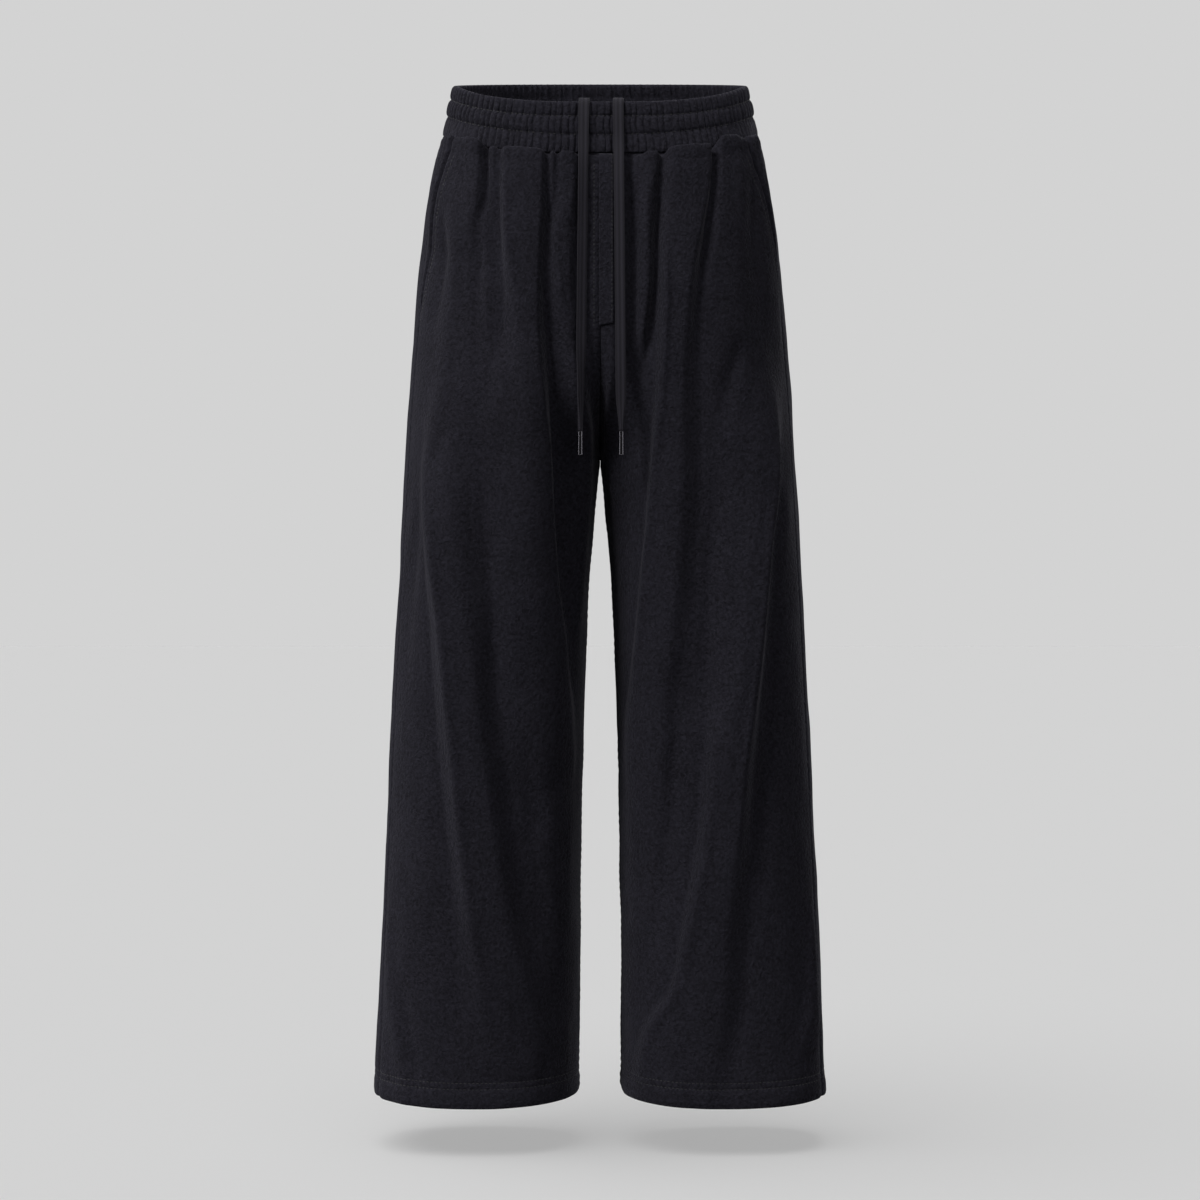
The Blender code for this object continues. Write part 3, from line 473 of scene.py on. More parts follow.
gunmetal = make_gunmetal()

# %% Metal tips
TIP_LENGTH = 0.0230
TIP_RADIUS = 0.0025
TIP_WALL = 0.0005
TIP_GAP = 0.0003
CRIMP_FROM_TOP = 0.0045
CRIMP_DEPTH = 0.00035


def select_only(piece):
    """Deselects all, then makes one piece active."""
    bpy.ops.object.select_all(action="DESELECT")
    piece.select_set(True)
    bpy.context.view_layer.objects.active = piece


def make_tip(wearer):
    end = cords[wearer][1][-1]
    middle = (end[0], end[1], end[2] - TIP_GAP - TIP_LENGTH / 2)
    bpy.ops.mesh.primitive_cylinder_add(vertices=32, radius=TIP_RADIUS, depth=TIP_LENGTH, location=middle)
    tip = bpy.context.object
    tip.name = tip.data.name = f"cord_tip_{wearer}"
    select_only(tip)
    bpy.ops.object.transform_apply(location=True, rotation=False, scale=False)
    bpy.ops.object.mode_set(mode="EDIT")
    mesh = bmesh.from_edit_mesh(tip.data)
    for face in mesh.faces:
        face.select_set(abs(face.normal.z) > 0.9)
    bmesh.update_edit_mesh(tip.data)
    bpy.ops.mesh.inset(thickness=TIP_WALL, depth=0.0)
    bpy.ops.mesh.inset(thickness=TIP_WALL / 2, depth=-TIP_WALL)
    # Three rings of edges round the crimp, cut by bisecting the whole tube.
    top_z = middle[2] + TIP_LENGTH / 2
    for below in (-1, 0, 1):
        bpy.ops.mesh.select_all(action="SELECT")
        cut_z = top_z - CRIMP_FROM_TOP + below * TIP_RADIUS / 3
        bpy.ops.mesh.bisect(plane_co=(middle[0], middle[1], cut_z), plane_no=(0, 0, 1))
    mesh = bmesh.from_edit_mesh(tip.data)
    for vertex in mesh.verts:
        away = (vertex.co.z - (top_z - CRIMP_FROM_TOP)) / (TIP_RADIUS / 6)
        vertex.select_set(abs(away) < 1)
    mesh.select_flush(False)
    shrink = 1 - CRIMP_DEPTH / TIP_RADIUS
    for vertex in mesh.verts:
        if vertex.select:
            vertex.co.x = middle[0] + (vertex.co.x - middle[0]) * shrink
            vertex.co.y = middle[1] + (vertex.co.y - middle[1]) * shrink
    bmesh.update_edit_mesh(tip.data)
    bpy.ops.object.mode_set(mode="OBJECT")
    rolled = tip.modifiers.new("rolled_ends", "BEVEL")
    rolled.width = TIP_WALL * 1.5
    rolled.segments = 4
    rolled.limit_method = "ANGLE"
    rolled.angle_limit = math.radians(50)
    bpy.ops.object.modifier_apply(modifier=rolled.name)
    bpy.ops.object.shade_smooth_by_angle(angle=math.radians(35))
    tip.data.materials.append(gunmetal)
    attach(tip, "root")
    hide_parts(f"aglet_{wearer}")
    return tip


tips = []
for wearer, (piece, line, length) in cords.items():
    tip = make_tip(wearer)
    tips.append(tip)
    print(tip.name, "faces:", len(tip.data.polygons))

# %% [markdown]
# ## The plain form
#
# Trousers are drafted from measurements of level rings: waist, hip, thigh, knee and hem. The same
# rings give the form here. Each row of the table is one level section, squarer than an ellipse,
# and a leg's section is cut off at the middle above the crotch, which is what makes the crotch
# curve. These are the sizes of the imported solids, so the finer cloth lies where they are.

# %% Sizes and level sections
WALL = 0.0020  # fleece
SEAM_GAP = 0.0003
SEAM_FLAT = 0.014
BAND_TOP_Z = 0.0255
BAND_FOOT_Z = -0.0235
BAND_WALL = 0.0035
CROTCH_Z = -0.359
CROTCH_Y = 0.010
HEM_Z = -1.0055
HEM_MIDDLE_X = 0.1265
HEM_HALF_WIDTH = 0.1045
HEM_SAG = 0.0050
HEM_SAG_FROM_Z = -0.90
HEM_SAG_LEVEL = 0.4
LEG_GAP_HALF = 0.0222
LEG_GAP_FALL = 0.18
LEGS_MERGE = 11.0
LEGS_PART_Z = -0.220
LEGS_PART_FALL = 0.125
TILT_SLOPE = 0.20
TILT_DIP = 0.0140
TILT_DIP_Y = 0.11
TILT_FROM_Z = -0.026
TILT_FADE = 0.28
PUFF = 0.0035
PUFF_RISE = 0.009
PUFF_FADE = 0.055
PUFF_TUCK = 0.0020
POCKET_TOP_Z = -0.030
POCKET_END_Z = -0.220
POCKET_END_FADE = 0.040
POCKET_MOUTH = (  # a slanted cut: height, and how far in front of the side seam it lies
    (-0.0235, 0.0300),
    (-0.0455, 0.0268),
    (-0.0700, 0.0228),
    (-0.1200, 0.0165),
    (-0.1600, 0.0112),
    (-0.1900, 0.0064),
    (-0.2200, 0.0000),
)
QUARTER = np.linspace(0.0, math.pi / 2, 121)
SEAM_TURN = math.radians(68)

SECTION_COLUMNS = ("z", "side_x", "lobe_x", "front_y", "back_y", "side_y", "square")
SECTIONS = (
    (0.0255, 0.1490, 0.030, -0.1020, 0.0970, 0.000, 2.10),
    (0.0000, 0.1545, 0.032, -0.1050, 0.1010, 0.000, 2.10),
    (-0.0255, 0.1595, 0.036, -0.1090, 0.1060, 0.001, 2.15),
    (-0.0500, 0.1665, 0.042, -0.1130, 0.1140, 0.002, 2.15),
    (-0.0800, 0.1745, 0.050, -0.1165, 0.1230, 0.004, 2.20),
    (-0.1200, 0.1810, 0.058, -0.1195, 0.1330, 0.006, 2.20),
    (-0.1800, 0.1875, 0.070, -0.1220, 0.1420, 0.008, 2.25),
    (-0.2400, 0.1925, 0.082, -0.1230, 0.1440, 0.009, 2.25),
    (-0.3000, 0.1968, 0.092, -0.1215, 0.1390, 0.009, 2.30),
    (-0.3590, 0.2000, 0.100, -0.1180, 0.1300, 0.008, 2.35),
    (-0.4500, 0.2050, 0.107, -0.1120, 0.1180, 0.006, 2.40),
    (-0.6000, 0.2130, 0.115, -0.1020, 0.1050, 0.003, 2.45),
    (-0.8000, 0.2225, 0.121, -0.0930, 0.0950, 0.001, 2.55),
    (-1.0055, 0.2310, 0.1265, -0.0860, 0.0870, 0.000, 2.60),
)
# Lines that the columns of points follow, so that they run along the folds: x at a height.
GRAIN_COLUMNS = ("z", "front_inner", "front_outer", "back")
GRAIN = (
    (-0.0235, 0.0600, 0.1080, 0.0700),
    (-0.2000, 0.0580, 0.1020, 0.0850),
    (-0.3590, 0.0530, 0.1150, 0.1000),
    (-0.5200, 0.0420, 0.1150, 0.1040),
    (-0.7000, 0.0350, 0.1020, 0.1060),
    (-0.8500, 0.0330, 0.0820, 0.1100),
    (-1.0055, 0.0330, 0.0600, 0.1180),
)
FRONT_SHARES = (0.0, 0.34, 0.64, 1.0)
BACK_SHARES = (0.0, 0.56, 1.0)


# %% The outline at a height
def legs_weight(z):
    """0 in the seat, and 1 where the legs are apart."""
    return float(smoothstep((LEGS_PART_Z - z) / LEGS_PART_FALL))


def leg_inner_x(z):
    """A leg's inner side: past the middle above the crotch, where the two legs merge."""
    below = CROTCH_Z - z
    if below > 0:
        return SEAM_GAP / 2 + LEG_GAP_HALF * (1 - math.exp(-below / LEG_GAP_FALL))
    return SEAM_GAP / 2 + LEG_GAP_HALF / LEG_GAP_FALL * below - LEGS_MERGE * below**2


def band_tilt(y, z):
    """The waistband sits lower at the front than at the back. The tilt fades out below it."""
    forward = np.clip(-y / TILT_DIP_Y, 0.0, 1.2)
    fade = float(1 - smoothstep((TILT_FROM_Z - z) / TILT_FADE))
    return (TILT_SLOPE * y - TILT_DIP * forward**2) * fade


def hem_sag(x, z):
    """The hem hangs a little lower in the middle of each leg than at its two seams."""
    across = np.clip((x - HEM_MIDDLE_X) / HEM_HALF_WIDTH, -1.0, 1.0)
    down = float(smoothstep((HEM_SAG_FROM_Z - z) / (HEM_SAG_FROM_Z - HEM_Z)))
    return HEM_SAG * (across**2 - HEM_SAG_LEVEL) * down


def pocket_shape(z):
    """1 along the pocket mouth, fading to 0 at its lower end."""
    return float(smoothstep((z - POCKET_END_Z) / POCKET_END_FADE))


def mouth_distance(z):
    """How far in front of the side seam the pocket mouth's edge lies."""
    return float(smooth_through(z, *zip(*POCKET_MOUTH)))


@functools.lru_cache(maxsize=None)
def outline(z):
    """Half the outline at height z, on the +X side, from the front edge round to the back edge.

    Returns x, y, the distance along it, and its marks: the two front grain lines, the side seam,
    the back grain line and the back edge, as distances.
    """
    section = read_table(SECTIONS, SECTION_COLUMNS, z)
    lobe_x, side_y = section["lobe_x"], section["side_y"]
    power = 2 / section["square"]
    leg_x = leg_inner_x(z)
    cut_x = max(leg_x, SEAM_GAP / 2)
    reach = min((lobe_x - cut_x) / (lobe_x - leg_x), 1.0)
    turned = QUARTER * (math.asin(reach ** (1 / power)) / QUARTER[-1])
    towards_edge, edge_fall = np.sin(turned) ** power, np.clip(np.cos(turned), 0, 1) ** power
    towards_side, side_fall = np.sin(QUARTER) ** power, np.clip(np.cos(QUARTER), 0, 1) ** power
    to_edge = lobe_x + (leg_x - lobe_x) * towards_edge
    to_side = lobe_x + (section["side_x"] - lobe_x) * towards_side
    front_edge = CROTCH_Y + (section["front_y"] - CROTCH_Y) * edge_fall
    front_side = side_y + (section["front_y"] - side_y) * side_fall
    back_side = side_y + (section["back_y"] - side_y) * side_fall
    back_edge = CROTCH_Y + (section["back_y"] - CROTCH_Y) * edge_fall
    x = np.concatenate([to_edge[::-1], to_side[1:], to_side[-2::-1], to_edge[1:]])
    y = np.concatenate([front_edge[::-1], front_side[1:], back_side[-2::-1], back_edge[1:]])
    along = along_curve(x, y)
    widest = 2 * len(QUARTER) - 2
    seam = along[len(QUARTER) - 1 + round(SEAM_TURN / QUARTER[1])]
    grain = read_table(GRAIN, GRAIN_COLUMNS, z)
    front_lines = (grain["front_inner"], grain["front_outer"])
    front_marks = np.interp(front_lines, x[:widest], along[:widest])
    back_mark = np.interp(grain["back"], x[:widest:-1], along[:widest:-1])
    return x, y, along, (*front_marks, seam, back_mark, along[-1])


# %% [markdown]
# ## Folds
#
# The garment hangs from a gathered waist, so the cloth falls in long folds: short pleats under the
# waistband, and a few broad drapes down each leg. A fold is a strip that stands proud between two
# flanks. Every row of its table is a place along it: its height, the x of both flanks as seen from
# the front, how far it stands out and how softly each flank rises. Its top is slightly crowned, as
# cloth never lies flat over a fold.

# %% Fold tables
FOLD_COLUMNS = ("z", "left", "right", "proud", "left_soft", "right_soft")
FRONT_FOLDS = {
    "right_pocket_gather": (
        (-0.030, -0.190, -0.1130, 0.0100, 0.010, 0.003),
        (-0.060, -0.193, -0.1135, 0.0095, 0.010, 0.004),
        (-0.080, -0.195, -0.1150, 0.0085, 0.010, 0.006),
        (-0.140, -0.200, -0.1170, 0.0000, 0.010, 0.010),
    ),
    "right_small_gather": (
        (-0.030, -0.1085, -0.0975, 0.0065, 0.003, 0.004),
        (-0.070, -0.1090, -0.0980, 0.0035, 0.004, 0.006),
        (-0.110, -0.1080, -0.0960, 0.0000, 0.006, 0.008),
    ),
    "right_front_fold": (
        (-0.030, -0.0945, -0.0535, 0.0090, 0.0050, 0.0040),
        (-0.060, -0.0945, -0.0540, 0.0095, 0.0050, 0.0040),
        (-0.105, -0.0940, -0.0560, 0.0105, 0.0050, 0.0045),
        (-0.155, -0.0900, -0.0575, 0.0105, 0.0060, 0.0050),
        (-0.204, -0.0870, -0.0580, 0.0105, 0.0100, 0.0050),
        (-0.245, -0.0880, -0.0565, 0.0110, 0.0150, 0.0050),
        (-0.304, -0.0920, -0.0530, 0.0125, 0.0250, 0.0045),
        (-0.363, -0.0970, -0.0500, 0.0130, 0.0300, 0.0045),
        (-0.422, -0.1000, -0.0480, 0.0130, 0.0300, 0.0045),
        (-0.490, -0.0980, -0.0440, 0.0125, 0.0300, 0.0048),
        (-0.540, -0.0940, -0.0388, 0.0110, 0.0300, 0.0052),
        (-0.580, -0.0900, -0.0347, 0.0090, 0.0300, 0.0056),
        (-0.620, -0.0870, -0.0305, 0.0065, 0.0300, 0.0060),
        (-0.690, -0.0840, -0.0265, 0.0000, 0.0300, 0.0080),
    ),
    "right_narrow_pleat": (
        (-0.030, -0.0505, -0.0430, 0.0060, 0.003, 0.003),
        (-0.060, -0.0510, -0.0440, 0.0045, 0.004, 0.004),
        (-0.095, -0.0530, -0.0455, 0.0000, 0.005, 0.005),
    ),
    "right_cord_pleat": (
        (-0.030, -0.0412, -0.0235, 0.0055, 0.003, 0.004),
        (-0.060, -0.0430, -0.0240, 0.0040, 0.004, 0.004),
        (-0.100, -0.0440, -0.0245, 0.0000, 0.006, 0.005),
    ),
    "right_inner_gather": (
        (-0.050, -0.0360, -0.0250, 0.0000, 0.005, 0.004),
        (-0.100, -0.0460, -0.0250, 0.0070, 0.005, 0.004),
        (-0.174, -0.0430, -0.0250, 0.0055, 0.006, 0.005),
        (-0.214, -0.0360, -0.0240, 0.0040, 0.006, 0.005),
        (-0.270, -0.0270, -0.0220, 0.0000, 0.006, 0.006),
    ),
    "right_leg_fold": (
        (-0.280, -0.1700, -0.1400, 0.0000, 0.010, 0.020),
        (-0.340, -0.1700, -0.1350, 0.0055, 0.009, 0.020),
        (-0.420, -0.1690, -0.1270, 0.0110, 0.009, 0.018),
        (-0.522, -0.1615, -0.1175, 0.0140, 0.009, 0.015),
        (-0.602, -0.1565, -0.1115, 0.0145, 0.009, 0.012),
        (-0.682, -0.1495, -0.1025, 0.0145, 0.009, 0.012),
        (-0.752, -0.1435, -0.0935, 0.0140, 0.009, 0.012),
        (-0.822, -0.1365, -0.0825, 0.0125, 0.010, 0.012),
        (-0.882, -0.1295, -0.0665, 0.0090, 0.013, 0.013),
        (-0.935, -0.1250, -0.0530, 0.0045, 0.015, 0.014),
        (-0.980, -0.1230, -0.0480, 0.0000, 0.015, 0.014),
    ),
    "left_inner_gather": (
        (-0.030, 0.0420, 0.0590, 0.0050, 0.005, 0.004),
        (-0.060, 0.0420, 0.0550, 0.0055, 0.006, 0.005),
        (-0.170, 0.0430, 0.0515, 0.0055, 0.007, 0.005),
        (-0.234, 0.0390, 0.0460, 0.0040, 0.007, 0.006),
        (-0.270, 0.0370, 0.0440, 0.0000, 0.008, 0.006),
    ),
    "left_front_fold": (
        (-0.030, 0.0640, 0.1075, 0.0110, 0.0040, 0.0032),
        (-0.070, 0.0625, 0.1060, 0.0110, 0.0050, 0.0040),
        (-0.105, 0.0610, 0.1010, 0.0110, 0.0050, 0.0060),
        (-0.145, 0.0610, 0.0955, 0.0110, 0.0050, 0.0070),
        (-0.204, 0.0600, 0.0915, 0.0110, 0.0060, 0.0080),
        (-0.260, 0.0590, 0.0900, 0.0105, 0.0060, 0.0100),
        (-0.300, 0.0580, 0.0900, 0.0100, 0.0070, 0.0110),
        (-0.402, 0.0520, 0.0890, 0.0100, 0.0070, 0.0110),
        (-0.481, 0.0460, 0.0855, 0.0100, 0.0070, 0.0110),
        (-0.560, 0.0390, 0.0800, 0.0090, 0.0070, 0.0110),
        (-0.640, 0.0300, 0.0765, 0.0075, 0.0090, 0.0120),
        (-0.700, 0.0270, 0.0730, 0.0045, 0.0110, 0.0140),
        (-0.770, 0.0260, 0.0690, 0.0000, 0.0120, 0.0150),
    ),
    "left_pocket_gather": (
        (-0.030, 0.1112, 0.1900, 0.0100, 0.0035, 0.0100),
        (-0.080, 0.1092, 0.1950, 0.0085, 0.0060, 0.0100),
        (-0.140, 0.1050, 0.2000, 0.0060, 0.0090, 0.0100),
        (-0.190, 0.0990, 0.2030, 0.0035, 0.0120, 0.0100),
        (-0.250, 0.0950, 0.2050, 0.0000, 0.0140, 0.0100),
    ),
    "left_leg_fold": (
        (-0.270, 0.1500, 0.1780, 0.0000, 0.030, 0.010),
        (-0.330, 0.1450, 0.1760, 0.0085, 0.030, 0.007),
        (-0.363, 0.1425, 0.1740, 0.0120, 0.030, 0.006),
        (-0.402, 0.1400, 0.1715, 0.0140, 0.030, 0.006),
        (-0.442, 0.1370, 0.1665, 0.0150, 0.029, 0.006),
        (-0.481, 0.1340, 0.1635, 0.0155, 0.028, 0.006),
        (-0.521, 0.1310, 0.1615, 0.0155, 0.024, 0.006),
        (-0.560, 0.1260, 0.1590, 0.0155, 0.020, 0.006),
        (-0.599, 0.1190, 0.1555, 0.0150, 0.014, 0.006),
        (-0.642, 0.1120, 0.1510, 0.0145, 0.010, 0.007),
        (-0.678, 0.1085, 0.1475, 0.0145, 0.009, 0.007),
        (-0.717, 0.1045, 0.1450, 0.0140, 0.008, 0.008),
        (-0.762, 0.0985, 0.1420, 0.0140, 0.008, 0.010),
        (-0.822, 0.0880, 0.1370, 0.0125, 0.008, 0.012),
        (-0.882, 0.0780, 0.1340, 0.0100, 0.008, 0.012),
        (-0.932, 0.0490, 0.1290, 0.0075, 0.009, 0.013),
        (-0.975, 0.0400, 0.1200, 0.0045, 0.009, 0.014),
        (-1.005, 0.0385, 0.1170, 0.0015, 0.009, 0.014),
    ),
    "left_shin_fold": (
        (-0.790, 0.2130, 0.2400, 0.0000, 0.005, 0.010),
        (-0.850, 0.2110, 0.2400, 0.0055, 0.005, 0.010),
        (-0.912, 0.2070, 0.2400, 0.0055, 0.005, 0.010),
        (-0.965, 0.2000, 0.2400, 0.0000, 0.006, 0.010),
    ),
}
BACK_FOLDS = {
    "right_side_gather": (
        (-0.030, -0.1500, -0.1180, 0.0085, 0.006, 0.005),
        (-0.090, -0.1560, -0.1160, 0.0070, 0.008, 0.008),
        (-0.170, -0.1620, -0.1140, 0.0000, 0.010, 0.012),
    ),
    "right_seat_gather": (
        (-0.030, -0.1040, -0.0700, 0.0100, 0.005, 0.005),
        (-0.110, -0.1060, -0.0660, 0.0085, 0.007, 0.008),
        (-0.210, -0.1100, -0.0600, 0.0000, 0.012, 0.014),
    ),
    "right_centre_gather": (
        (-0.030, -0.0540, -0.0200, 0.0085, 0.005, 0.005),
        (-0.090, -0.0540, -0.0180, 0.0070, 0.006, 0.007),
        (-0.160, -0.0540, -0.0170, 0.0000, 0.008, 0.010),
    ),
    "left_centre_gather": (
        (-0.030, 0.0180, 0.0500, 0.0085, 0.005, 0.005),
        (-0.100, 0.0170, 0.0510, 0.0070, 0.007, 0.006),
        (-0.180, 0.0160, 0.0530, 0.0000, 0.010, 0.008),
    ),
    "left_seat_gather": (
        (-0.030, 0.0640, 0.1000, 0.0100, 0.005, 0.005),
        (-0.120, 0.0620, 0.1030, 0.0085, 0.008, 0.007),
        (-0.230, 0.0580, 0.1080, 0.0000, 0.014, 0.012),
    ),
    "left_side_gather": (
        (-0.030, 0.1150, 0.1480, 0.0085, 0.005, 0.006),
        (-0.080, 0.1140, 0.1530, 0.0070, 0.007, 0.008),
        (-0.150, 0.1130, 0.1600, 0.0000, 0.012, 0.010),
    ),
    "right_seat_drape": (
        (-0.290, -0.1500, -0.1180, 0.0000, 0.012, 0.018),
        (-0.380, -0.1440, -0.1000, 0.0100, 0.010, 0.016),
        (-0.500, -0.1340, -0.0840, 0.0140, 0.010, 0.015),
        (-0.640, -0.1230, -0.0720, 0.0140, 0.010, 0.014),
        (-0.780, -0.1140, -0.0640, 0.0110, 0.011, 0.014),
        (-0.900, -0.1080, -0.0600, 0.0055, 0.013, 0.015),
        (-0.980, -0.1060, -0.0580, 0.0000, 0.014, 0.015),
    ),
    "right_calf_drape": (
        (-0.560, -0.1900, -0.1650, 0.0000, 0.010, 0.015),
        (-0.680, -0.1870, -0.1560, 0.0100, 0.009, 0.013),
        (-0.800, -0.1820, -0.1480, 0.0125, 0.009, 0.012),
        (-0.920, -0.1800, -0.1440, 0.0085, 0.010, 0.012),
        (-1.000, -0.1800, -0.1430, 0.0015, 0.010, 0.012),
    ),
    "left_seat_drape": (
        (-0.270, 0.1050, 0.1480, 0.0000, 0.016, 0.012),
        (-0.360, 0.0960, 0.1440, 0.0110, 0.014, 0.010),
        (-0.480, 0.0860, 0.1400, 0.0140, 0.014, 0.010),
        (-0.620, 0.0800, 0.1330, 0.0125, 0.015, 0.010),
        (-0.760, 0.0780, 0.1240, 0.0070, 0.016, 0.011),
        (-0.860, 0.0780, 0.1200, 0.0000, 0.016, 0.012),
    ),
    "left_calf_drape": (
        (-0.640, 0.1500, 0.1900, 0.0000, 0.014, 0.010),
        (-0.740, 0.1420, 0.1850, 0.0100, 0.013, 0.010),
        (-0.860, 0.1280, 0.1760, 0.0125, 0.012, 0.010),
        (-0.960, 0.1160, 0.1660, 0.0070, 0.012, 0.012),
        (-1.005, 0.1120, 0.1620, 0.0015, 0.012, 0.012),
    ),
    "left_inner_drape": (
        (-0.420, 0.0300, 0.0560, 0.0000, 0.008, 0.010),
        (-0.540, 0.0320, 0.0600, 0.0085, 0.008, 0.010),
        (-0.680, 0.0350, 0.0620, 0.0085, 0.009, 0.010),
        (-0.820, 0.0380, 0.0640, 0.0000, 0.010, 0.012),
    ),
}
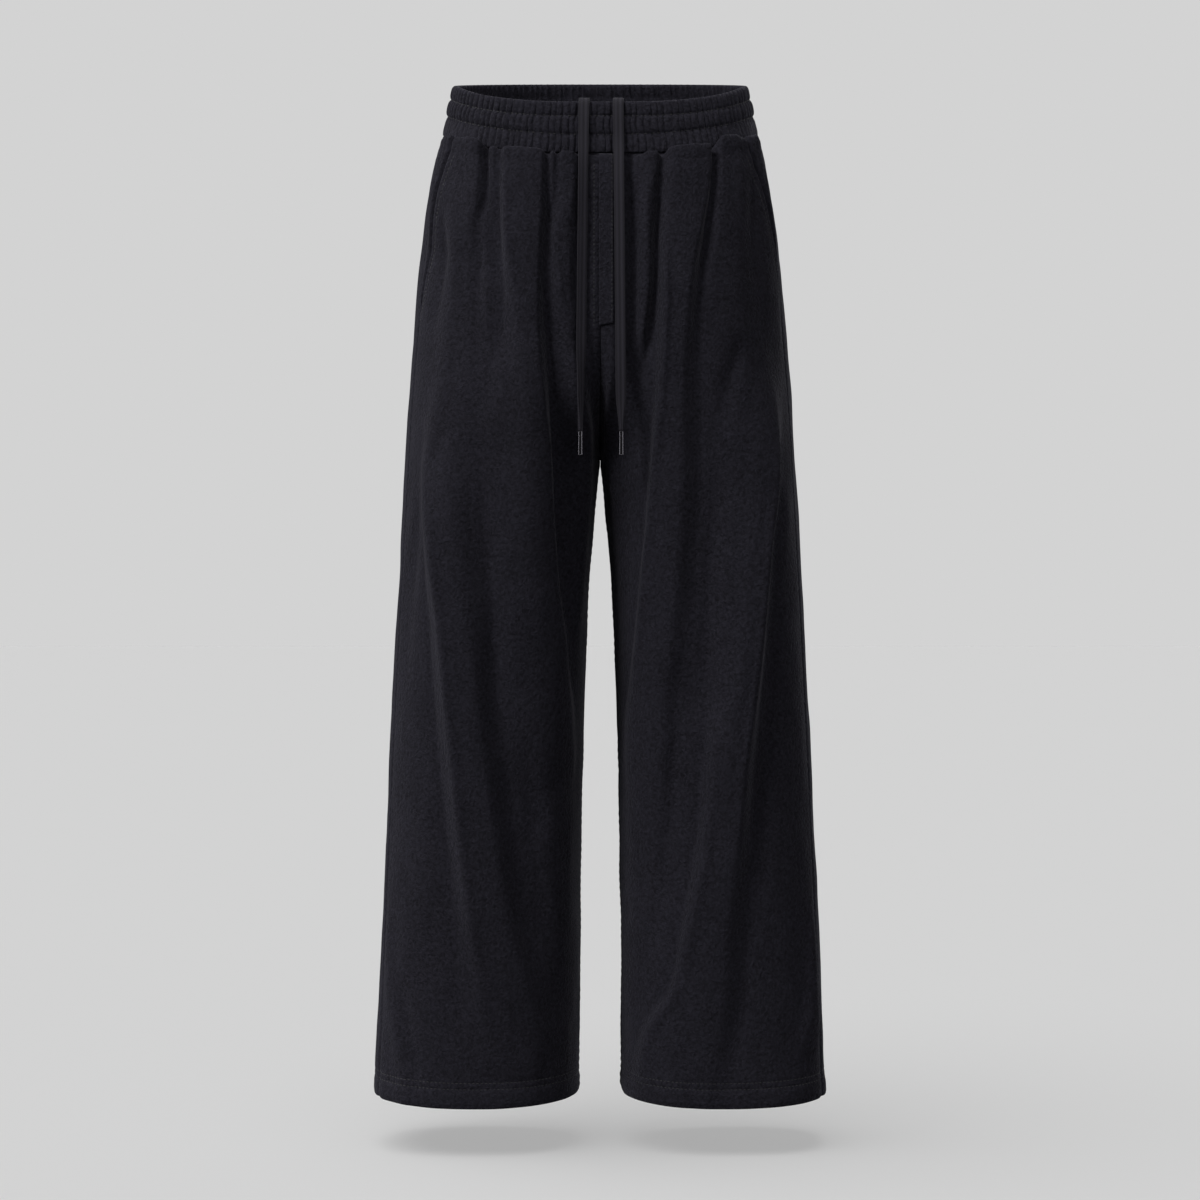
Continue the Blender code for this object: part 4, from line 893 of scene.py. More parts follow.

# %% [markdown]
# ## Creases
#
# Between the folds run finer creases, and these make cloth look like cloth. Each is given
# as a line down the garment, with a height that is positive for a ridge and negative for a trough,
# and a half width. No two are alike in length, depth or spacing.

# %% Crease tables
CREASE_COLUMNS = ("z", "x", "height", "width")
FRONT_CREASES = {
    "right_tuck": (
        (-0.040, -0.1108, -0.0042, 0.0028),
        (-0.073, -0.1130, -0.0042, 0.0032),
        (-0.098, -0.1190, -0.0042, 0.0040),
        (-0.137, -0.1210, -0.0038, 0.0056),
        (-0.186, -0.1220, -0.0032, 0.0070),
        (-0.235, -0.1210, -0.0020, 0.0080),
        (-0.290, -0.1190, 0.0000, 0.0090),
    ),
    "right_pleat_ridge": (
        (-0.046, -0.0954, 0.0012, 0.0050),
        (-0.090, -0.0930, 0.0020, 0.0050),
        (-0.127, -0.0915, 0.0020, 0.0054),
        (-0.186, -0.0886, 0.0017, 0.0060),
        (-0.230, -0.0850, 0.0010, 0.0068),
        (-0.275, -0.0810, 0.0000, 0.0070),
    ),
    "right_pleat_trough": (
        (-0.060, -0.1040, 0.0000, 0.0050),
        (-0.100, -0.1035, -0.0020, 0.0060),
        (-0.150, -0.1030, -0.0024, 0.0070),
        (-0.210, -0.1010, -0.0016, 0.0080),
        (-0.270, -0.0980, 0.0000, 0.0090),
    ),
    "right_tuck_small": (
        (-0.060, -0.0505, -0.0022, 0.0030),
        (-0.100, -0.0490, -0.0026, 0.0036),
        (-0.150, -0.0480, -0.0014, 0.0050),
        (-0.200, -0.0470, 0.0000, 0.0060),
    ),
    "right_centre_ridge": (
        (-0.085, -0.0465, 0.0000, 0.0050),
        (-0.115, -0.0455, 0.0026, 0.0046),
        (-0.156, -0.0433, 0.0028, 0.0050),
        (-0.186, -0.0412, 0.0030, 0.0050),
        (-0.206, -0.0382, 0.0030, 0.0050),
        (-0.225, -0.0347, 0.0030, 0.0050),
        (-0.245, -0.0314, 0.0032, 0.0052),
        (-0.270, -0.0287, 0.0032, 0.0055),
        (-0.304, -0.0255, 0.0028, 0.0060),
        (-0.345, -0.0220, 0.0012, 0.0065),
        (-0.380, -0.0200, 0.0000, 0.0065),
    ),
    "right_inseam_ridge": (
        (-0.240, -0.0240, 0.0000, 0.0080),
        (-0.290, -0.0215, 0.0080, 0.0085),
        (-0.340, -0.0195, 0.0110, 0.0090),
        (-0.400, -0.0190, 0.0105, 0.0090),
        (-0.460, -0.0195, 0.0085, 0.0085),
        (-0.520, -0.0215, 0.0055, 0.0080),
        (-0.600, -0.0240, 0.0020, 0.0080),
        (-0.680, -0.0250, 0.0000, 0.0080),
    ),
    "right_inner_trough": (
        (-0.160, -0.0540, 0.0000, 0.0045),
        (-0.186, -0.0530, -0.0030, 0.0046),
        (-0.206, -0.0520, -0.0042, 0.0048),
        (-0.245, -0.0500, -0.0052, 0.0054),
        (-0.304, -0.0465, -0.0055, 0.0062),
        (-0.363, -0.0432, -0.0055, 0.0070),
        (-0.422, -0.0405, -0.0053, 0.0080),
        (-0.490, -0.0352, -0.0050, 0.0090),
        (-0.540, -0.0292, -0.0045, 0.0095),
        (-0.600, -0.0235, -0.0030, 0.0100),
        (-0.660, -0.0210, 0.0000, 0.0100),
    ),
    "right_inner_fullness": (
        (-0.480, -0.0580, 0.0000, 0.0200),
        (-0.560, -0.0520, 0.0035, 0.0200),
        (-0.640, -0.0470, 0.0050, 0.0200),
        (-0.760, -0.0470, 0.0050, 0.0200),
        (-0.860, -0.0480, 0.0035, 0.0200),
        (-0.960, -0.0480, 0.0000, 0.0200),
    ),
    "right_cord_trough": (
        (-0.075, -0.0300, 0.0000, 0.0040),
        (-0.100, -0.0275, -0.0020, 0.0040),
        (-0.160, -0.0262, -0.0022, 0.0040),
        (-0.215, -0.0250, 0.0000, 0.0045),
    ),
    "right_thigh_ridge": (
        (-0.088, -0.1420, 0.0000, 0.0090),
        (-0.117, -0.1432, 0.0022, 0.0085),
        (-0.147, -0.1440, 0.0028, 0.0084),
        (-0.180, -0.1462, 0.0029, 0.0084),
        (-0.225, -0.1500, 0.0028, 0.0092),
        (-0.255, -0.1530, 0.0028, 0.0095),
        (-0.324, -0.1610, 0.0028, 0.0090),
        (-0.373, -0.1710, 0.0034, 0.0070),
        (-0.403, -0.1700, 0.0034, 0.0065),
        (-0.452, -0.1660, 0.0030, 0.0065),
        (-0.520, -0.1620, 0.0000, 0.0080),
    ),
    "right_hip_trough": (
        (-0.075, -0.1520, 0.0000, 0.0060),
        (-0.117, -0.1545, -0.0026, 0.0050),
        (-0.155, -0.1575, -0.0032, 0.0050),
        (-0.190, -0.1630, -0.0028, 0.0055),
        (-0.250, -0.1700, 0.0000, 0.0070),
    ),
    "right_leg_ridge": (
        (-0.400, -0.1650, 0.0000, 0.0060),
        (-0.460, -0.1600, 0.0026, 0.0052),
        (-0.520, -0.1550, 0.0030, 0.0050),
        (-0.600, -0.1490, 0.0032, 0.0050),
        (-0.680, -0.1420, 0.0032, 0.0050),
        (-0.750, -0.1360, 0.0030, 0.0052),
        (-0.820, -0.1280, 0.0026, 0.0058),
        (-0.880, -0.1190, 0.0018, 0.0070),
        (-0.940, -0.1110, 0.0010, 0.0080),
        (-0.990, -0.1080, 0.0000, 0.0090),
    ),
    "right_side_wedge": (
        (-0.360, -0.1860, 0.0000, 0.0060),
        (-0.412, -0.1840, -0.0038, 0.0055),
        (-0.460, -0.1880, -0.0042, 0.0070),
        (-0.520, -0.1930, -0.0026, 0.0080),
        (-0.600, -0.1980, 0.0000, 0.0090),
    ),
    "right_knee_ridge": (
        (-0.420, -0.0950, 0.0000, 0.0080),
        (-0.475, -0.0930, 0.0018, 0.0080),
        (-0.530, -0.0880, 0.0014, 0.0085),
        (-0.590, -0.0850, 0.0000, 0.0090),
    ),
    "right_knee_trough": (
        (-0.330, -0.1180, 0.0000, 0.0100),
        (-0.420, -0.1130, -0.0026, 0.0090),
        (-0.520, -0.1060, -0.0024, 0.0090),
        (-0.610, -0.0990, 0.0000, 0.0100),
    ),
    "right_shin_trough": (
        (-0.600, -0.0750, 0.0000, 0.0100),
        (-0.700, -0.0700, -0.0016, 0.0090),
        (-0.820, -0.0570, -0.0020, 0.0090),
        (-0.920, -0.0420, 0.0000, 0.0100),
    ),
    "right_hem_ridge": (
        (-0.800, -0.2150, 0.0000, 0.0070),
        (-0.856, -0.2140, 0.0026, 0.0070),
        (-0.895, -0.2110, 0.0028, 0.0070),
        (-0.935, -0.2060, 0.0026, 0.0070),
        (-0.975, -0.1990, 0.0016, 0.0075),
        (-1.004, -0.1950, 0.0004, 0.0080),
    ),
    "right_hem_trough": (
        (-0.860, -0.1980, 0.0000, 0.0070),
        (-0.905, -0.1960, -0.0018, 0.0065),
        (-0.960, -0.1880, -0.0018, 0.0070),
        (-1.004, -0.1840, -0.0006, 0.0080),
    ),
    "left_fly_trough": (
        (-0.046, 0.0290, -0.0044, 0.0050),
        (-0.107, 0.0312, -0.0050, 0.0052),
        (-0.156, 0.0330, -0.0050, 0.0052),
        (-0.206, 0.0330, -0.0048, 0.0052),
        (-0.235, 0.0340, -0.0042, 0.0058),
        (-0.262, 0.0365, -0.0038, 0.0070),
        (-0.284, 0.0380, -0.0036, 0.0080),
        (-0.304, 0.0375, -0.0030, 0.0085),
        (-0.330, 0.0350, -0.0020, 0.0085),
        (-0.365, 0.0320, -0.0008, 0.0085),
        (-0.400, 0.0300, 0.0000, 0.0085),
    ),
    "left_inseam_ridge": (
        (-0.250, 0.0120, 0.0000, 0.0060),
        (-0.290, 0.0105, 0.0050, 0.0062),
        (-0.330, 0.0098, 0.0085, 0.0062),
        (-0.365, 0.0100, 0.0085, 0.0065),
        (-0.400, 0.0130, 0.0050, 0.0075),
        (-0.480, 0.0180, 0.0025, 0.0080),
        (-0.540, 0.0200, 0.0000, 0.0080),
    ),
    "left_small_ridge": (
        (-0.050, 0.0448, 0.0000, 0.0040),
        (-0.078, 0.0443, 0.0026, 0.0042),
        (-0.127, 0.0423, 0.0028, 0.0044),
        (-0.186, 0.0403, 0.0026, 0.0044),
        (-0.225, 0.0394, 0.0018, 0.0046),
        (-0.265, 0.0370, 0.0000, 0.0050),
    ),
    "left_front_trough": (
        (-0.040, 0.0605, -0.0030, 0.0040),
        (-0.053, 0.0610, -0.0046, 0.0044),
        (-0.088, 0.0580, -0.0050, 0.0044),
        (-0.117, 0.0551, -0.0050, 0.0044),
        (-0.156, 0.0545, -0.0046, 0.0044),
        (-0.206, 0.0522, -0.0042, 0.0046),
        (-0.245, 0.0472, -0.0032, 0.0048),
        (-0.285, 0.0400, 0.0000, 0.0050),
    ),
    "left_front_ridge": (
        (-0.110, 0.0640, 0.0000, 0.0050),
        (-0.150, 0.0640, 0.0030, 0.0048),
        (-0.186, 0.0645, 0.0036, 0.0047),
        (-0.245, 0.0625, 0.0038, 0.0047),
        (-0.304, 0.0600, 0.0038, 0.0047),
        (-0.343, 0.0578, 0.0038, 0.0047),
        (-0.383, 0.0545, 0.0038, 0.0047),
        (-0.422, 0.0530, 0.0038, 0.0047),
        (-0.462, 0.0485, 0.0036, 0.0047),
        (-0.501, 0.0460, 0.0034, 0.0050),
        (-0.540, 0.0430, 0.0030, 0.0052),
        (-0.580, 0.0370, 0.0022, 0.0056),
        (-0.620, 0.0320, 0.0014, 0.0060),
        (-0.680, 0.0280, 0.0000, 0.0060),
    ),
    "left_tuck": (
        (-0.040, 0.1083, -0.0044, 0.0032),
        (-0.070, 0.1075, -0.0042, 0.0036),
        (-0.110, 0.1035, -0.0038, 0.0044),
        (-0.150, 0.0995, -0.0034, 0.0050),
        (-0.190, 0.0960, -0.0028, 0.0056),
        (-0.230, 0.0930, -0.0018, 0.0064),
        (-0.280, 0.0910, 0.0000, 0.0070),
    ),
    "left_side_dip": (
        (-0.036, 0.1440, 0.0000, 0.0040),
        (-0.050, 0.1440, -0.0018, 0.0042),
        (-0.090, 0.1470, -0.0020, 0.0050),
        (-0.130, 0.1500, 0.0000, 0.0060),
    ),
    "left_hip_trough": (
        (-0.050, 0.1440, 0.0000, 0.0080),
        (-0.078, 0.1456, -0.0024, 0.0080),
        (-0.127, 0.1476, -0.0028, 0.0080),
        (-0.186, 0.1545, -0.0026, 0.0080),
        (-0.250, 0.1594, 0.0000, 0.0090),
    ),
    "left_thigh_dimple": (
        (-0.230, 0.1390, 0.0000, 0.0080),
        (-0.265, 0.1330, -0.0030, 0.0080),
        (-0.294, 0.1260, -0.0026, 0.0085),
        (-0.340, 0.1190, 0.0000, 0.0090),
    ),
    "left_knee_trough": (
        (-0.360, 0.1180, 0.0000, 0.0100),
        (-0.440, 0.1120, -0.0026, 0.0095),
        (-0.540, 0.1040, -0.0026, 0.0095),
        (-0.620, 0.0980, 0.0000, 0.0100),
    ),
    "left_shin_ridge": (
        (-0.560, 0.1190, 0.0000, 0.0070),
        (-0.600, 0.1175, 0.0018, 0.0060),
        (-0.649, 0.1125, 0.0030, 0.0052),
        (-0.698, 0.1085, 0.0034, 0.0050),
        (-0.737, 0.1045, 0.0034, 0.0050),
        (-0.777, 0.0985, 0.0034, 0.0050),
        (-0.816, 0.0910, 0.0034, 0.0051),
        (-0.856, 0.0840, 0.0034, 0.0053),
        (-0.885, 0.0770, 0.0030, 0.0055),
        (-0.925, 0.0560, 0.0024, 0.0058),
        (-0.944, 0.0490, 0.0020, 0.0060),
        (-0.985, 0.0450, 0.0008, 0.0060),
        (-1.005, 0.0440, 0.0000, 0.0060),
    ),
    "left_shin_trough": (
        (-0.540, 0.0830, 0.0000, 0.0080),
        (-0.600, 0.0748, -0.0036, 0.0076),
        (-0.640, 0.0745, -0.0042, 0.0076),
        (-0.678, 0.0710, -0.0040, 0.0076),
        (-0.717, 0.0705, -0.0038, 0.0078),
        (-0.757, 0.0650, -0.0030, 0.0080),
        (-0.800, 0.0600, -0.0022, 0.0085),
        (-0.850, 0.0500, -0.0016, 0.0085),
        (-0.900, 0.0430, -0.0010, 0.0090),
        (-0.950, 0.0380, 0.0000, 0.0090),
    ),
    "left_leg_ridge": (
        (-0.320, 0.1700, 0.0000, 0.0050),
        (-0.363, 0.1685, 0.0030, 0.0044),
        (-0.403, 0.1650, 0.0034, 0.0044),
        (-0.442, 0.1605, 0.0034, 0.0044),
        (-0.481, 0.1575, 0.0030, 0.0044),
        (-0.521, 0.1555, 0.0034, 0.0044),
        (-0.560, 0.1525, 0.0034, 0.0044),
        (-0.599, 0.1490, 0.0032, 0.0046),
        (-0.639, 0.1445, 0.0028, 0.0048),
        (-0.678, 0.1405, 0.0022, 0.0050),
        (-0.717, 0.1380, 0.0014, 0.0054),
        (-0.770, 0.1340, 0.0000, 0.0060),
    ),
    "left_outer_trough": (
        (-0.330, 0.1840, 0.0000, 0.0060),
        (-0.380, 0.1830, -0.0026, 0.0060),
        (-0.440, 0.1780, -0.0034, 0.0064),
        (-0.500, 0.1745, -0.0036, 0.0066),
        (-0.560, 0.1720, -0.0036, 0.0070),
        (-0.620, 0.1690, -0.0034, 0.0076),
        (-0.680, 0.1640, -0.0030, 0.0080),
        (-0.740, 0.1610, -0.0022, 0.0086),
        (-0.820, 0.1560, 0.0000, 0.0090),
    ),
    "fly_fold_line": (
        (-0.218, 0.0120, 0.0000, 0.0020),
        (-0.234, 0.0118, 0.0006, 0.0018),
        (-0.285, 0.0106, 0.0005, 0.0019),
        (-0.330, 0.0092, 0.0000, 0.0020),
    ),
}
BACK_CREASES = {
    "right_waist_tuck": (
        (-0.040, -0.1130, -0.0036, 0.0036),
        (-0.100, -0.1120, -0.0032, 0.0042),
        (-0.180, -0.1090, 0.0000, 0.0060),
    ),
    "right_seat_tuck": (
        (-0.040, -0.0620, -0.0040, 0.0036),
        (-0.120, -0.0590, -0.0034, 0.0046),
        (-0.215, -0.0560, 0.0000, 0.0060),
    ),
    "right_seat_ridge": (
        (-0.080, -0.0860, 0.0000, 0.0060),
        (-0.150, -0.0850, 0.0022, 0.0060),
        (-0.260, -0.0900, 0.0000, 0.0080),
    ),
    "left_seat_tuck": (
        (-0.040, 0.0570, -0.0042, 0.0036),
        (-0.105, 0.0565, -0.0034, 0.0046),
        (-0.190, 0.0570, 0.0000, 0.0060),
    ),
    "left_waist_tuck": (
        (-0.040, 0.1085, -0.0036, 0.0034),
        (-0.090, 0.1080, -0.0028, 0.0044),
        (-0.150, 0.1075, 0.0000, 0.0060),
    ),
    "left_seat_ridge": (
        (-0.090, 0.0790, 0.0000, 0.0060),
        (-0.170, 0.0800, 0.0024, 0.0060),
        (-0.290, 0.0880, 0.0000, 0.0080),
    ),
    "right_thigh_trough": (
        (-0.300, -0.1020, 0.0000, 0.0080),
        (-0.380, -0.0930, -0.0030, 0.0070),
        (-0.470, -0.0770, -0.0026, 0.0080),
        (-0.580, -0.0620, 0.0000, 0.0090),
    ),
    "left_thigh_trough": (
        (-0.290, 0.0920, 0.0000, 0.0080),
        (-0.370, 0.0860, -0.0030, 0.0070),
        (-0.480, 0.0740, -0.0024, 0.0080),
        (-0.600, 0.0690, 0.0000, 0.0090),
    ),
    "right_knee_ridge": (
        (-0.440, -0.1500, 0.0000, 0.0080),
        (-0.540, -0.1470, 0.0026, 0.0070),
        (-0.650, -0.1420, 0.0024, 0.0070),
        (-0.760, -0.1360, 0.0000, 0.0080),
    ),
    "left_knee_ridge": (
        (-0.400, 0.1570, 0.0000, 0.0080),
        (-0.500, 0.1560, 0.0028, 0.0070),
        (-0.600, 0.1520, 0.0022, 0.0075),
        (-0.700, 0.1490, 0.0000, 0.0080),
    ),
    "right_calf_trough": (
        (-0.700, -0.1350, 0.0000, 0.0080),
        (-0.820, -0.1310, -0.0028, 0.0080),
        (-0.930, -0.1290, -0.0018, 0.0090),
        (-1.004, -0.1280, -0.0004, 0.0090),
    ),
    "left_calf_trough": (
        (-0.720, 0.1010, 0.0000, 0.0080),
        (-0.850, 0.0980, -0.0028, 0.0080),
        (-0.940, 0.0950, -0.0016, 0.0090),
        (-1.004, 0.0930, -0.0004, 0.0090),
    ),
}
print("folds:", len(FRONT_FOLDS) + len(BACK_FOLDS), "creases:", len(FRONT_CREASES) + len(BACK_CREASES))

# %% [markdown]
# ## The cloth's surface
#
# One function says how far the cloth stands off the plain form at any place. It adds up the folds,
# the creases, the gathered puff under the waistband, the small gathers of the ease stitching, the
# rolled edges at the seams and a faint unevenness. Every panel, the mock fly and the pocket facings
# are cut from this surface, so they lie on each other without touching.

# %% How far the cloth stands out
FOLD_CROWN = 0.22  # a fold's middle stands this share prouder than its shoulders
FLANK_ROUND = 0.65  # a left flank starts at a crease and rounds off towards the fold's middle
CORNER_RADIUS = 0.009
CORNER_SHARE = 0.6  # of the radius, drawn in at the very top
GATHER_STEP = 0.0095
GATHER_HEIGHT = 0.0013
FRONT_GATHERS = 0.5  # the front's small gathers are this share as high
GATHER_FADE = (0.018, 0.042)
SEAM_ROLL = 0.0013
SEAM_ROLL_WIDTH = 0.0026
PUCKER_STEP = 0.0088
PUCKER_HEIGHT = 0.00035
PUCKER_REACH = 0.009
DRIFT_HEIGHT = 0.0009
MOUTH_LIP = 0.0004
MOUTH_LIP_WIDTH = 0.005
MOUTH_ROLL = 0.0012
MOUTH_ROLL_WIDTH = 0.0014
SIDE_LIFT = {-1: (0.0042, 0.10), 1: (0.0072, 0.16)}  # of the outer pleats' tops, and how it falls off
SIDE_LIFT_X = (0.108, 0.118)
MOUTH_STITCH = 0.0065  # the top stitching's distance from the pocket mouth
GROOVE_DEPTH = 0.00040
GROOVE_WIDTH = 0.0009
HEM_STITCHES = (0.0180, 0.0243)  # above the hem's edge
HEM_PILLOW = 0.0006

noise_seed = np.random.RandomState(7)
DRIFT_GRID = noise_seed.uniform(-1, 1, (64, 64))
gather_jitter = noise_seed.uniform(-0.34, 0.34, 200)
gather_size = noise_seed.uniform(0.35, 1.25, 200)
gather_reach = noise_seed.uniform(*GATHER_FADE, 200)


def drift(across, down, step_across, step_down, shift=0):
    """A smooth, aimless unevenness between -1 and 1, over patches of the given size."""
    u, v = np.asarray(across) / step_across + shift, down / step_down + shift
    col, row = np.floor(u).astype(int), int(math.floor(v))
    s, t = smoothstep(u - col), float(smoothstep(v - row))
    near = DRIFT_GRID[row % 64, col % 64] * (1 - s) + DRIFT_GRID[row % 64, (col + 1) % 64] * s
    far = DRIFT_GRID[(row + 1) % 64, col % 64] * (1 - s) + DRIFT_GRID[(row + 1) % 64, (col + 1) % 64] * s
    return near * (1 - t) + far * t


def reaches(rows, size, z):
    """Whether a fold is there at height z. One that isn't flat at its end runs on to the edge."""
    below_top = z <= rows[0][0] or rows[0][size] != 0
    return below_top and (z >= rows[-1][0] or rows[-1][size] != 0)


def corner_inset(z):
    """How far a pleat's sides draw in on its rounded top corners, at height z."""
    up = min(max((z - BAND_FOOT_Z) / CORNER_RADIUS + 1, 0.0), 1.0)
    return CORNER_RADIUS * CORNER_SHARE * (1 - math.sqrt(1 - up * up))


def fold_stand(folds, x, z):
    total = np.zeros_like(x)
    inset = corner_inset(z)
    for rows in folds.values():
        if not reaches(rows, FOLD_COLUMNS.index("proud"), z):
            continue
        fold = read_table(rows, FOLD_COLUMNS, z)
        risen = smoothstep((x - fold["left"] - inset) / fold["left_soft"] / 2 + 0.5) ** FLANK_ROUND
        fallen = smoothstep((x - fold["right"] + inset) / fold["right_soft"] / 2 + 0.5)
        middle = (fold["left"] + fold["right"]) / 2
        off_middle = np.clip((x - middle) / (fold["right"] - fold["left"]) * 2, -1, 1)
        crown = 1 + FOLD_CROWN * (0.5 - off_middle**2)
        total += fold["proud"] * np.maximum(risen - fallen, 0) * crown
    return total


def crease_stand(creases, x, z):
    total = np.zeros_like(x)
    for rows in creases.values():
        if reaches(rows, CREASE_COLUMNS.index("height"), z):
            crease = read_table(rows, CREASE_COLUMNS, z)
            total += crease["height"] * bump((x - crease["x"]) / crease["width"])
    return total


def gather_stand(half, over, z):
    """Small uneven gathers where the cloth is eased into the waistband."""
    below = BAND_FOOT_Z - z
    if below > 2.5 * GATHER_FADE[1]:
        return np.zeros_like(over)
    place = half * over / GATHER_STEP + 100
    near = np.rint(place).astype(int)
    total = np.zeros_like(over)
    for step in (-1, 0, 1):
        which = (near + step) % 200
        away = (place - near - step - gather_jitter[which]) / 0.42
        fade = bump(np.maximum(below - 0.004, 0) / gather_reach[which])
        total += gather_size[which] * fade * (bump(away) - 0.45)
    return GATHER_HEIGHT * total


def roll_share(z):
    """How far the cloth has come round its roll under the waistband, from 0 at the seam to 1."""
    return max(min((BAND_FOOT_Z - z) / PUFF_RISE, 1.0), 0.0)


def cloth_stand(z, half, seen_x, base_x, over, marks, rolled):
    """How far the cloth stands off the plain outline. `rolled` turns its edges in at the seams."""
    seam, whole = marks[2], marks[4]
    front = over < seam
    folds = np.where(front, fold_stand(FRONT_FOLDS, seen_x, z), fold_stand(BACK_FOLDS, seen_x, z))
    folds += np.where(front, crease_stand(FRONT_CREASES, seen_x, z), crease_stand(BACK_CREASES, seen_x, z))
    from_seam = np.abs(over - seam)
    from_centre = np.minimum(over, whole - over)
    off_side_seam = smoothstep(from_seam / SEAM_FLAT)
    off_inseam = smoothstep((base_x - max(leg_inner_x(z), 0.0)) / SEAM_FLAT)
    folds = folds * off_side_seam * (1 - legs_weight(z) * (1 - off_inseam))
    across = half * (over - seam)
    uneven = drift(across, z, 0.034, 0.060) + 0.6 * drift(across, z, 0.015, 0.031, 9.3)
    calm = smoothstep((np.abs(seen_x) - 0.022) / 0.02) + legs_weight(z)
    folds = folds + DRIFT_HEIGHT * uneven * np.minimum(calm, 1.0) * off_side_seam
    folds = folds + gather_stand(half, over, z) * np.where(front, FRONT_GATHERS, 1.0)
    rise = math.sin(math.pi / 2 * roll_share(z)) ** 0.8
    puff = PUFF * float(1 - smoothstep((BAND_FOOT_Z - PUFF_RISE - z) / PUFF_FADE))
    stand = (folds + puff) * rise - PUFF_TUCK * (1 - rise)
    if not rolled:
        return stand
    from_mouth = np.abs(over - seam + mouth_distance(z))
    lip = MOUTH_LIP * bump(from_mouth / MOUTH_LIP_WIDTH) - MOUTH_ROLL * bump(from_mouth / MOUTH_ROLL_WIDTH)
    lip = lip * pocket_shape(z) * (over < seam)
    roll = SEAM_ROLL * (bump(from_seam / SEAM_ROLL_WIDTH) + bump(from_centre / SEAM_ROLL_WIDTH))
    pucker = math.sin(2 * math.pi * z / PUCKER_STEP + 2.1 * math.sin(z * 31)) * PUCKER_HEIGHT
    stand = stand + lip - roll
    return stand + pucker * (bump(from_seam / PUCKER_REACH) + bump(from_centre / PUCKER_REACH))


def sewn_stand(z, over, marks):
    """Grooves that the stitches press in, and the thicker hem between them."""
    above = z - HEM_Z
    total = sum(bump((above - height) / GROOVE_WIDTH) for height in HEM_STITCHES) * -GROOVE_DEPTH
    total += HEM_PILLOW * float(smoothstep((HEM_STITCHES[0] - above) / 0.006)) * float(smoothstep(above / 0.004))
    from_mouth = marks[2] - over - mouth_distance(z) - MOUTH_STITCH
    return total - GROOVE_DEPTH * pocket_shape(z) * bump(from_mouth / GROOVE_WIDTH) * (over < marks[2])


# %% Points of the cloth
PILLOW_LIFT = 0.85  # a pleat's rounded top rises over the waistband's foot by about half this share
CORD_CLEAR = 0.0004
CORD_SIDE = 0.0062  # half the width that a cord presses flat
CORD_SHOULDER = 0.0060
CORD_PRESS = 0.0040  # cloth beside the cord may stand this much further out
BAND_FRONT_Y = -0.095

cord_middle = {wearer: line for wearer, (piece, line, length) in cords.items()}


def press_under_cords(points):
    """Cloth in front of the cord's back face is pressed back behind it."""
    for line in cord_middle.values():
        hanging = line[np.argmax(line[:, 2]) :]
        x = np.interp(-points[..., 2], -hanging[:, 2], hanging[:, 0])
        y = np.interp(-points[..., 2], -hanging[:, 2], hanging[:, 1])
        beside = np.clip((np.abs(points[..., 0] - x) - CORD_SIDE) / CORD_SHOULDER, 0, 1)
        along_cord = (points[..., 2] > hanging[-1, 2]) & (points[..., 2] < hanging[0, 2] - CORD_THICKNESS / 2)
        limit = y + CORD_THICKNESS / 2 + CORD_CLEAR - CORD_PRESS * beside
        pressed = (points[..., 1] < limit) & along_cord & (beside < 1) & (points[..., 1] < BAND_FRONT_Y)
        points[..., 1] = np.where(pressed, limit, points[..., 1])
    return points


def cloth_row(side, z, at, sewn=True, rolled=True):
    """Points of the cloth's outer face at height z on one half, side +1 or -1.

    `at` turns the outline's marks into distances from the front edge. A distance past either end
    runs on over the other half, or round the leg.
    """
    x, y, along, marks = outline(z)
    whole = marks[-1]
    distance = np.asarray(at(marks), float)
    if z < CROTCH_Z:
        over = np.mod(distance, whole)
        half = np.full(len(distance), float(side))
    else:
        over = np.where(distance > whole, 2 * whole - distance, np.abs(distance))
        half = np.where((distance < 0) | (distance > whole), -side, side).astype(float)
    tangent_x, tangent_y = np.gradient(x, along), np.gradient(y, along)
    length = np.hypot(tangent_x, tangent_y)
    base_x, base_y = np.interp(over, along, x), np.interp(over, along, y)
    normal_x = np.interp(over, along, tangent_y / length)
    normal_y = np.interp(over, along, -tangent_x / length)
    stand = cloth_stand(z, half, half * base_x, base_x, over, marks, rolled)
    if sewn:
        stand = stand + sewn_stand(z, over, marks)
    lift = PILLOW_LIFT * np.maximum(stand, 0)
    for half_side, (most, falls) in SIDE_LIFT.items():
        outer_part = smoothstep((base_x - SIDE_LIFT_X[0]) / (SIDE_LIFT_X[1] - SIDE_LIFT_X[0]))
        outer_part = outer_part * smoothstep((marks[2] - mouth_distance(z) - over) / 0.016) * (half == half_side)
        lift = lift + outer_part * np.maximum(most - falls * (base_x - SIDE_LIFT_X[1]), 0)
    lift = lift * math.sin(math.pi * roll_share(z))
    out_x = half * (base_x + normal_x * stand)
    out_y = base_y + normal_y * stand
    out_z = z + band_tilt(base_y, z) + hem_sag(base_x, z) + lift
    return press_under_cords(np.stack([out_x, out_y, out_z], axis=-1))


def surface_normals(points, side):
    """Unit normals of a grid of points, pointing out of the garment."""
    across = np.gradient(points, axis=1)
    down = np.gradient(points, axis=0)
    normals = np.cross(across, down) * -side
    return normals / np.linalg.norm(normals, axis=-1, keepdims=True)

# %% [markdown]
# ## Brushed fleece
#
# The cloth is a cotton and polyester fleece, brushed on its face. Brushing raises a short pile that
# clumps into tufts 2 to 4 mm across, with finer fibre between them. The eye sees a matt, nearly
# black cloth with a soft mottling, whose edges glow where the pile turns away: that glow is sheen.
# The pattern lies in the object's own space, and it is stretched down the nap, as brushing leaves
# it. The finest fibre is drawn at 0.8 mm, coarser than the real 0.02 mm, because nothing finer would
# show.

# %% Brushed fleece material
TUFT_SIZE = 0.0030
FIBRE_SIZE = 0.0008
PATCH_SIZE = 0.060
NAP_STRETCH = 0.90


